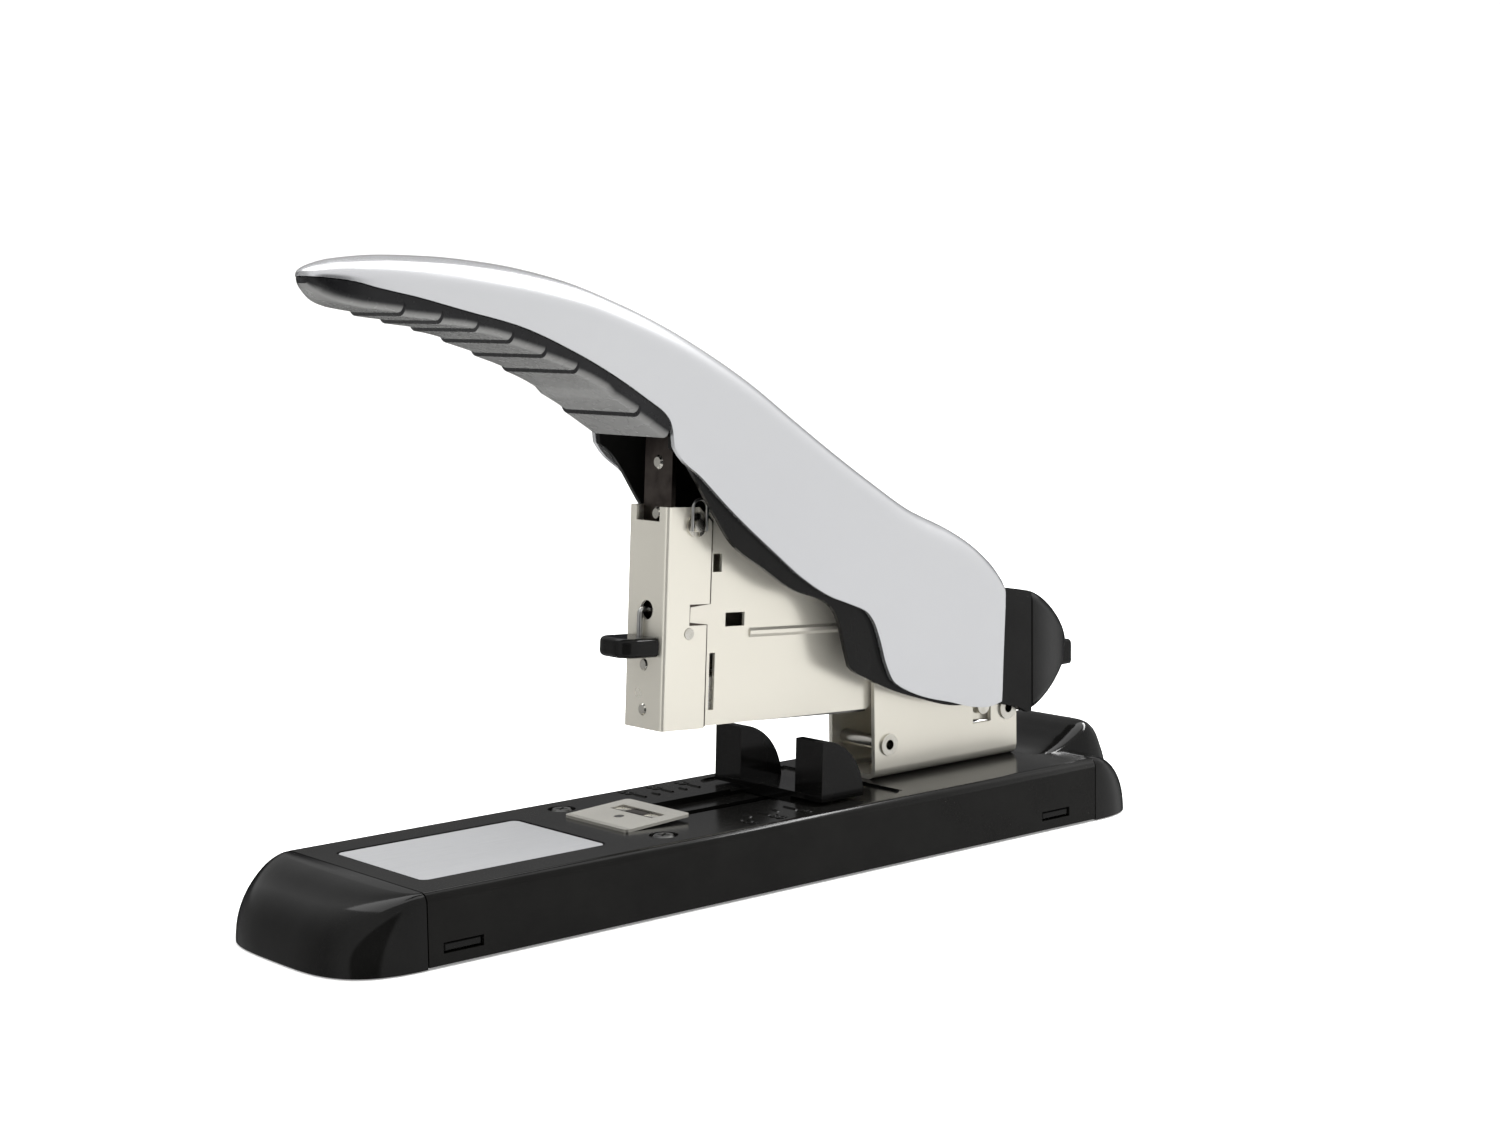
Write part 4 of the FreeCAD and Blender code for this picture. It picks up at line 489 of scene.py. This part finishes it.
def handle_stations(front, rear):
    """Distances behind the nose, closer together where the outlines turn quickly."""
    places = spaced(front, rear, 1.6)
    for start, end, step in FINE_STRETCHES:
        places += [place for place in spaced(start, end, step) if front <= place <= rear]
    places.sort()
    kept = [places[0]]
    for place in places[1:]:
        if place - kept[-1] > 0.1:
            kept.append(place)
    return kept


def wall_skin(name, front, rear, outer_inset, wall, crown, edge):
    """An arched wall of even thickness along the handle, open below."""
    nose = low("handle_shell").x
    rings = []
    for behind in handle_stations(front, rear):
        half_width = handle_half_width(behind) - outer_inset
        drop = SLOPE_FACTOR * outer_inset
        bottom = edge(behind)
        outer = arch(half_width, crown(behind) - drop, bottom)
        inner_width = max(half_width - wall, 0.4 * half_width)
        depth = max(crown(behind) - drop - bottom, 0.05)
        inner_crown = crown(behind) - drop - min(SLOPE_FACTOR * wall, 0.5 * depth)
        inner = arch(inner_width, inner_crown, bottom)
        ring = [(nose + behind, y, z) for y, z in outer]
        ring += [(nose + behind, y, z) for y, z in reversed(inner)]
        rings.append(ring)
    return cleaned_mesh(name, *ring_skin(rings, "wall"))


def make_handle():
    """The silver shell, the black liner inside it and the ribbed grip under its nose half."""
    crown = smooth_line(CROWN)
    seam = smooth_line(SEAM)
    length = CROWN[-1][0]
    shell = wall_skin("handle_shell_skin", 0.0, length, 0.0, SHELL_WALL, crown, seam)
    soften(add_piece("handle_shell_skin", shell, "handle", "silver_shell", ["handle_shell"], 50),
           0.35, 3, 50)
    liner_edge = smooth_line(LINER_EDGE)
    deepest = 24.0

    def liner_bottom(behind):
        if behind < LINER_EDGE[-1][0]:
            return max(liner_edge(behind), seam(behind) - deepest)
        return seam(behind) + 1.0

    gap = SHELL_WALL + 0.3
    liner = wall_skin("handle_liner_skin", LINER_EDGE[0][0] + 0.4, length - 1.2, gap, SHELL_WALL,
                      crown, liner_bottom)
    soften(add_piece("handle_liner_skin", liner, "handle", "liner_plastic", ["handle_liner"], 50),
           0.35, 2, 50)
    make_grip(seam)


def rib_height(behind, ribs):
    """Height of the ribbed underside: each rib's front edge hangs below the one ahead of it."""
    if behind < RIB_START:
        return ribs(behind)
    share = ((behind - RIB_START) / RIB_PITCH) % 1.0
    return ribs(behind) + RIB_DEPTH * share


def make_grip(seam):
    """The ribbed black moulding under the front half of the handle."""
    nose = low("handle_shell").x
    ribs = smooth_line(RIB_LINE)
    grip_end = 98.0
    places = spaced(RIB_LINE[0][0], RIB_START - 0.3, 0.5)
    for index in range(RIB_COUNT):
        front = RIB_START + index * RIB_PITCH
        places += [front + RIB_PITCH * share for share in (0.0, 0.2, 0.4, 0.6, 0.8, 0.96)]
    rings = []
    for behind in places:
        half_width = max(handle_half_width(behind) - 0.35, 0.8)
        top = seam(min(behind, grip_end)) - 0.2
        bottom = min(rib_height(behind, ribs), top - 0.3)
        corner = min(3.0, (top - bottom) * 0.8, half_width * 0.7)
        hub = half_width - corner
        side = [(half_width, top)]
        for share in spaced(0.0, 1.0, 0.14):
            angle = math.pi / 2 * share
            side.append((hub + corner * math.cos(angle), bottom + corner * (1 - math.sin(angle))))
        side.append((hub * 0.5, bottom))
        ring = [(nose + behind, y, z) for y, z in side]
        ring.append((nose + behind, 0.0, bottom))
        ring += [(nose + behind, -y, z) for y, z in reversed(side)]
        rings.append(ring)
    mesh = cleaned_mesh("grip_skin", *ring_skin(rings))
    soften(add_piece("grip_skin", mesh, "handle", "grip_plastic", ["grip_underside"], 32),
           0.3, 2, 32)


# ---------------------------------------------------------------- base caps


def cap_outline(length, height, half_width, top, bend):
    """Level outline of an end cap, from one joint corner round the nose to the other."""
    dome_power, across_power, ahead_power = 2.3, 0.55, 0.78
    steps = 48
    over = max(0.0, height - (top - bend))
    half_width -= bend - math.sqrt(max(bend * bend - over * over, 0.0))
    reach = (1 - (max(height, 0.0) / (top * 1.02)) ** dome_power) ** 0.5
    nose = max(length * reach, 0.02)
    places = []
    for index in range(steps + 1):
        angle = math.pi * index / steps
        across = math.cos(angle)
        ahead = math.sin(angle)
        y = half_width * math.copysign(abs(across) ** across_power, across)
        places.append((nose * ahead ** ahead_power, y))
    return places


def make_cap(name, node, direction, length, ramp):
    """A domed end cap; direction is -1 towards the nose and 1 towards the hinge end."""
    base = high("base_channel")
    joint = low("base_channel").x if direction < 0 else base.x
    bottom = low(node).z
    levels, edge_round, joint_gap = 22, 2.6, 0.35
    rings = []
    heights = [bottom + (base.z - bottom) * math.sin(math.pi / 2 * index / levels)
               for index in range(levels + 1)]
    for height in heights:
        outline = cap_outline(length, height, base.y, base.z, edge_round)
        ring = [(joint + direction * (joint_gap + ahead), y, height) for ahead, y in outline]
        rings.append(ring)
    mesh = cleaned_mesh(name, *ring_skin(rings))
    soften(add_piece(name, mesh, "base", "base_plastic", [node], 40), 0.5, 3, 40)
    if ramp:
        make_ramp(joint, base.z)


def make_clip_tongues():
    """The ends of the caps' four clips, standing in the windows of the channel's sides."""
    base = high("base_channel")
    windows = (low("base_channel").x + 4.3, base.x - 23.6)
    reach = base.y - 0.4
    for index, start in enumerate(windows):
        for side in (1, -1):
            inner = rectangle(start + 0.35, start + 11.65, 3.85, 5.95)
            outer = rectangle(start + 0.8, start + 11.2, 4.2, 5.6)
            rings = [[(x, side * (base.y - 1.8), z) for x, z in inner],
                     [(x, side * (base.y - 0.75), z) for x, z in inner],
                     [(x, side * reach, z) for x, z in outer]]
            name = "clip_tongue_%d_%d" % (index, side)
            mesh = cleaned_mesh(name, *ring_skin(rings))
            soften(add_piece(name, mesh, "base", "base_plastic", (), 30), 0.15)


def make_ramp(joint, top):
    """The scoop behind the bracket: a hump that falls towards the hinge and rounds off behind."""
    ridge_height = high("rear_end_cap").z
    crest = smooth_line([(-9.0, top + 0.05), (-4.0, top + 0.7), (2.0, top + 2.3), (8.0, top + 4.7),
                         (13.0, top + 6.8), (16.4, ridge_height), (18.8, ridge_height - 1.2),
                         (20.4, ridge_height - 4.2), (21.6, ridge_height - 8.2),
                         (22.6, ridge_height - 13.0)])
    half_width = 19.0
    flat_length = 14
    rings = []
    for behind in spaced(-9.0, 22.4, 0.8):
        ridge = crest(behind)
        foot = top - 3.0 - max(behind - flat_length, 0) * 1.2
        side = []
        for share in spaced(0.0, 1.0, 0.06):
            y = half_width * share
            fall = (ridge - foot) * (1 - (1 - share ** 9) ** 0.5)
            side.append((y, ridge - fall))
        ring = [(joint + behind, y, z) for y, z in reversed(side)]
        ring += [(joint + behind, -y, z) for y, z in side[1:]]
        ring += [(joint + behind, -half_width, foot - 0.5), (joint + behind, half_width, foot - 0.5)]
        rings.append(ring)
    mesh = cleaned_mesh("rear_ramp_skin", *ring_skin(rings))
    add_piece("rear_ramp_skin", mesh, "base", "base_plastic", (), 45)


def make_painted_recess_shade():
    """Painted shade: dark patches on the recess floor of the anvil, between and round its pockets,
    standing in for the shade in the recess.
    """
    line = low("anvil_plate").x + 15.1
    recess_height = 1.2
    floor = high("base_channel").z + recess_height
    heights = (floor - 0.1, floor + 0.05)
    patches = [((line - 2.3, line + 2.3), (-4.2, 4.2)),
               ((line - 2.3, line + 2.3), (-9.3, -9.0)),
               ((line - 2.3, line + 2.3), (9.0, 9.3)),
               ((line - 2.3, line - 1.5), (-9.0, 9.0)),
               ((line + 1.5, line + 2.3), (-9.0, 9.0))]
    # Dark steel slabs laid on the recess floor, as painted shade.
    for index, (x_span, y_span) in enumerate(patches):
        name = "painted_recess_shade_%d" % index
        mesh = cleaned_mesh(name, *ring_skin(slab(x_span, y_span, heights)))
        soften(add_piece(name, mesh, "base", "driver_steel", (), 30), 0.03)


# ---------------------------------------------------------------- rear of the head


def rounded_rectangle(half_width, bottom, top, corner):
    """Points round an upright rectangle with rounded corners."""
    places = []
    for sign_y, sign_z, turn in ((1, -1, -90), (1, 1, 0), (-1, 1, 90), (-1, -1, 180)):
        centre_y = sign_y * (half_width - corner)
        centre_z = top - corner if sign_z > 0 else bottom + corner
        for share in spaced(0.0, 1.0, 0.15):
            angle = math.radians(turn + 90 * share)
            places.append((centre_y + corner * math.cos(angle), centre_z + corner * math.sin(angle)))
    return places


def make_loader_cover():
    """The domed rear cover, with a round-cornered mouth like the housing ahead of it."""
    start, end = low("loader_cover"), high("loader_cover")
    reach = end.x - start.x
    middle = 49.5
    steps, roundness, tip_height = 32, 1.5, 1.5
    rings = []
    for index in range(steps + 1):
        share = math.sin(math.pi / 2 * index / steps)
        keep = (1 - min(share, 0.9996) ** roundness) ** (1 / roundness)
        half_width = end.y * (0.2 + 0.8 * keep)
        bottom = middle - (middle - start.z) * keep - tip_height * (1 - keep)
        top = middle + (end.z - middle) * keep + tip_height * (1 - keep)
        corner = min(half_width, (top - bottom) / 2) * (0.25 + 0.6 * share)
        ring = [(start.x + share * reach, y, z)
                for y, z in rounded_rectangle(half_width, bottom, top, corner)]
        rings.append(ring)
    mesh = cleaned_mesh("loader_cover_skin", *ring_skin(rings))
    soften(add_piece("loader_cover_skin", mesh, "loader", "housing_plastic", ["loader_cover"], 50),
           0.4, 3, 60)


def polish_cad(node, width):
    """Joins a CAD node's split faces and rounds its sharp edges a little."""
    piece = NODES[node]
    weld = piece.modifiers.new("JoinFaces", "WELD")
    weld.merge_threshold = 0.002 * MM
    soften(piece, width, 2, 30)


# ---------------------------------------------------------------- front of the head

# The rear edge of the sleeve's side flange, in the head's upright side view, top to bottom.
FLANGE_EDGE = [(-17.6, 97.1), (-12.9, 93.1), (-12.9, 70.6), (-19.8, 70.4), (-20.0, 64.5),
               (-13.9, 64.3), (-13.8, 35.9)]


def from_head(along, height):
    """Turns a place in the head's own upright side view into the row's X and Z."""
    lean = math.radians(HEAD_LEAN)
    ahead, above = along - HEAD_PIVOT[0], height - HEAD_PIVOT[1]
    return (HEAD_PIVOT[0] + ahead * math.cos(lean) + above * math.sin(lean),
            HEAD_PIVOT[1] - ahead * math.sin(lean) + above * math.cos(lean))


def make_flange_shadows():
    """Painted shadow: a dark line on the frame behind the folded sleeve's rear edges, standing in
    for the shade in the gap there.
    """
    width = 1.15
    flange_step = 0.6
    inside = high("magazine_frame").y - flange_step
    for side in (1, -1):
        rings = []
        for index, (along, height) in enumerate(FLANGE_EDGE):
            before = FLANGE_EDGE[max(index - 1, 0)]
            after = FLANGE_EDGE[min(index + 1, len(FLANGE_EDGE) - 1)]
            run = Vector((after[0] - before[0], after[1] - before[1])).normalized()
            ring = []
            for reach, depth in ((0.0, -0.1), (width, -0.1), (width, 0.05), (0.0, 0.05)):
                x, z = from_head(along - run.y * reach, height + run.x * reach)
                ring.append((x, side * (inside + depth), z))
            rings.append(ring)
        name = "flange_shadow_line_%d" % side
        mesh = cleaned_mesh(name, *ring_skin(rings))
        # Each strip is painted shadow: dark steel laid flush on the frame where the gap lies in
        # shade.
        add_piece(name, mesh, "head", "driver_steel", (), 30)


# ---------------------------------------------------------------- springs


def make_squashing_spring(node, body):
    """A copy of a CAD spring, added as a piece on a body in place of the CAD node."""
    coil = NODES[node].data.copy()
    coil.transform(NODES[node].matrix_world)
    coil.materials.clear()
    spring = add_piece(node + "_coil", coil, body, SLOTS[node], (node,))
    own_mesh(spring)


def make_springs():
    """The handle's coil under its lever, and the pusher's coil along its rod."""
    make_squashing_spring("handle_spring", "head")
    make_squashing_spring("pusher_spring", "loader")


# ---------------------------------------------------------------- depth scale

# Where the scale's first line stands, from the channel's front end, and the spacing of its lines.
SCALE_START = 109.1
LINE_SPACING = 5.0
LINE_COUNT = 5
NUMBER_COUNT = 3
FIRST_NUMBER = 20


def make_scale_ridges():
    """Raised lines of the depth scale: a long one every ten millimetres and a short one between."""
    top = high("base_channel").z - 0.05
    first = low("base_channel").x + SCALE_START
    inner_end, half_line = 18.5, 0.55
    long_line, short_line = 5.5, 3.5
    for index in range(LINE_COUNT):
        reach = long_line if index % 2 == 0 else short_line
        for side in (1, -1):
            middle = first + LINE_SPACING * index
            rings = []
            for height, inset in ((0.0, 0.0), (0.45, 0.3)):
                near, far = inner_end + inset, inner_end + reach - inset
                half = half_line - inset
                corners = rectangle(middle - half, middle + half, side * near, side * far)
                rings.append([(x, y, top + height) for x, y in corners])
            name = "scale_ridge_%d_%d" % (index, side)
            mesh = cleaned_mesh(name, *ring_skin(rings))
            add_piece(name, mesh, "base", "base_steel", (), 20)


def make_numerals():
    """Raised numbers beside the ticks: the paper depth in millimetres, ten apart."""
    top = high("base_channel").z
    first = low("base_channel").x + SCALE_START
    from_middle = 27.4
    for index in range(NUMBER_COUNT):
        for side in (1, -1):
            curve = bpy.data.curves.new("depth_number", "FONT")
            curve.body = str(FIRST_NUMBER + 10 * index)
            curve.size = 5.0 * MM
            curve.extrude = 0.10 * MM
            curve.bevel_depth = 0.10 * MM
            curve.bevel_resolution = 1
            curve.align_x = "CENTER"
            curve.align_y = "CENTER"
            number = bpy.data.objects.new("depth_number_%d_%d" % (index, side), curve)
            bpy.context.scene.collection.objects.link(number)
            number.location = Vector((first + 10 * index, side * from_middle, top + 0.05)) * MM
            number.rotation_euler = (0.0, 0.0, math.radians(-90))
            curve.materials.append(MATERIALS["base_steel"])
            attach(number, "base")


# ---------------------------------------------------------------- stage


def make_stage():
    """A pale floor that curves up behind the object, with its sizes in metres."""
    front, flat_end, bend, wall_top, half_width = -3.0, 2.2, 0.9, 3.5, 4.0
    steps = 16
    profile = [(along, 0.0) for along in spaced(front, flat_end, 0.4)]
    for index in range(1, steps + 1):
        angle = math.pi / 2 * index / steps
        profile.append((flat_end + bend * math.sin(angle), bend * (1 - math.cos(angle))))
    profile.append((flat_end + bend, wall_top))
    yaw = math.radians(CAMERA_YAW)
    away = Vector((math.cos(yaw), math.sin(yaw), 0.0))
    across = Vector((away.y, -away.x, 0.0))
    points = []
    for along, height in profile:
        for side in (-half_width, half_width):
            points.append(away * along + across * side + Vector((0, 0, height)))
    faces = [(2 * index, 2 * index + 1, 2 * index + 3, 2 * index + 2)
             for index in range(len(profile) - 1)]
    mesh = bpy.data.meshes.new("floor_sweep")
    mesh.from_pydata(points, [], faces)
    floor = bpy.data.objects.new("floor_sweep", mesh)
    bpy.context.scene.collection.objects.link(floor)
    for face in mesh.polygons:
        face.use_smooth = True
    shader = Shader("pale_floor")
    shader.set(Specular_IOR_Level=0.1)
    shader.colour(shader.noise((3, 3, 3)), (0.93, 0.93, 0.92), (0.95, 0.95, 0.94))
    shader.set(Emission_Color=(1.0, 1.0, 0.99, 1.0), Emission_Strength=0.25)
    shader.roughness(shader.noise((9, 9, 9)), 0.75, 0.9)
    mesh.materials.append(shader.material)
    floor.visible_glossy = False


def world_patch(nodes, links, place, aim, start, end):
    """How far a direction lies inside a soft round patch of the room, from 0 to 1."""
    toward = nodes.new("ShaderNodeVectorMath")
    toward.operation = "DOT_PRODUCT"
    toward.inputs[1].default_value = Vector(aim).normalized()
    links.new(place, toward.inputs[0])
    patch = nodes.new("ShaderNodeMapRange")
    patch.interpolation_type = "SMOOTHSTEP"
    patch.inputs["From Min"].default_value = start
    patch.inputs["From Max"].default_value = end
    links.new(toward.outputs["Value"], patch.inputs["Value"])
    return patch.outputs["Result"]


def combined(nodes, links, operation, first, second):
    """One number from two, by a named operation."""
    step = nodes.new("ShaderNodeMath")
    step.operation = operation
    links.new(first, step.inputs[0])
    links.new(second, step.inputs[1])
    return step.outputs["Value"]


def turned_to(nodes, links, share, grey):
    """A node that turns its first colour towards another as share rises."""
    mix = nodes.new("ShaderNodeMix")
    mix.data_type = "RGBA"
    mix.inputs["B"].default_value = (*grey, 1.0)
    links.new(share, mix.inputs["Factor"])
    return mix


def make_world():
    """A bright room, dark low behind the object and on the near side, and dimmer off its front
    end and higher up behind it."""
    world = bpy.data.worlds.new("studio")
    bpy.context.scene.world = world
    world.use_nodes = True
    nodes, links = world.node_tree.nodes, world.node_tree.links
    background = nodes["Background"]
    place = nodes.new("ShaderNodeTexCoord").outputs["Generated"]
    behind = world_patch(nodes, links, place, (0.64, 0.76, 0.02), 0.45, 0.9)
    lower = world_patch(nodes, links, place, (0.0, 0.0, 1.0), 0.27, 0.16)
    band = combined(nodes, links, "MULTIPLY", behind, lower)
    beside = world_patch(nodes, links, place, (-0.66, 0.75, -0.05), 0.5, 0.95)
    above = world_patch(nodes, links, place, (0.6, 0.7, 0.38), 0.72, 0.93)
    dimmer = combined(nodes, links, "MAXIMUM", beside, above)
    dimmed = turned_to(nodes, links, dimmer, (0.42, 0.42, 0.42))
    dimmed.inputs["A"].default_value = (1.0, 1.0, 1.0, 1.0)
    near = world_patch(nodes, links, place, (-0.64, -0.76, 0.0), 0.84, 0.91)
    dark = combined(nodes, links, "MAXIMUM", band, near)
    room = turned_to(nodes, links, dark, (0.03, 0.03, 0.034))
    links.new(dimmed.outputs["Result"], room.inputs["A"])
    links.new(room.outputs["Result"], background.inputs["Color"])
    background.inputs["Strength"].default_value = 0.9


def area_light(name, place, width, height, watts):
    """A rectangular lamp aimed at the middle of the object, with its sizes in metres."""
    aim = Vector((0.0, 0.0, 0.1))
    light = bpy.data.lights.new(name, "AREA")
    light.shape = "RECTANGLE"
    light.size = width
    light.size_y = height
    light.energy = watts
    lamp = bpy.data.objects.new(name, light)
    lamp.location = place
    turn = (aim - Vector(place)).to_track_quat("-Z", "Y")
    lamp.rotation_euler = turn.to_euler()
    bpy.context.scene.collection.objects.link(lamp)


def make_lights():
    """A broad box overhead and a narrow one behind the hinge end."""
    area_light("top_box", (0.15, 0.3, 1.45), width=1.8, height=1.4, watts=22)
    area_light("edge_box", (0.9, -0.12, 1.05), width=0.9, height=0.14, watts=15)


def make_camera():
    """A long lens at the height and side from which the object is seen."""
    yaw = math.radians(CAMERA_YAW)
    pitch = math.radians(CAMERA_PITCH)
    roll = math.radians(CAMERA_ROLL)
    ahead = Vector((math.cos(yaw) * math.cos(pitch), math.sin(yaw) * math.cos(pitch),
                    -math.sin(pitch)))
    level = Vector((math.sin(yaw), -math.cos(yaw), 0.0))
    above = level.cross(ahead)
    right = level * math.cos(roll) + above * math.sin(roll)
    up = above * math.cos(roll) - level * math.sin(roll)
    place = Vector(CAMERA_PLACE) * MM
    lens = bpy.data.cameras.new("camera")
    lens.lens = FOCAL_LENGTH
    lens.sensor_width = SENSOR_WIDTH
    camera = bpy.data.objects.new("camera", lens)
    turn = Matrix((right, up, -ahead)).transposed().to_4x4()
    camera.matrix_world = Matrix.Translation(place) @ turn
    bpy.context.scene.collection.objects.link(camera)
    bpy.context.scene.camera = camera
    bpy.context.scene.view_settings.view_transform = "Standard"


# ---------------------------------------------------------------- everything in order

MATERIALS = make_materials()
for node, piece in NODES.items():
    piece.data.materials.clear()
    piece.data.materials.append(MATERIALS[SLOTS[node]])
make_handle()
make_cap("front_cap_skin", "front_end_cap", direction=-1, length=23.8, ramp=False)
make_cap("rear_cap_skin", "rear_end_cap", direction=1, length=25.2, ramp=True)
make_clip_tongues()
make_painted_recess_shade()
make_loader_cover()
make_flange_shadows()
make_springs()
for polished, width in (("base_channel", 0.3), ("paper_guide", 0.4), ("rear_housing", 0.5)):
    polish_cad(polished, width)
make_scale_ridges()
make_numerals()
make_stage()
make_world()
make_lights()
make_camera()
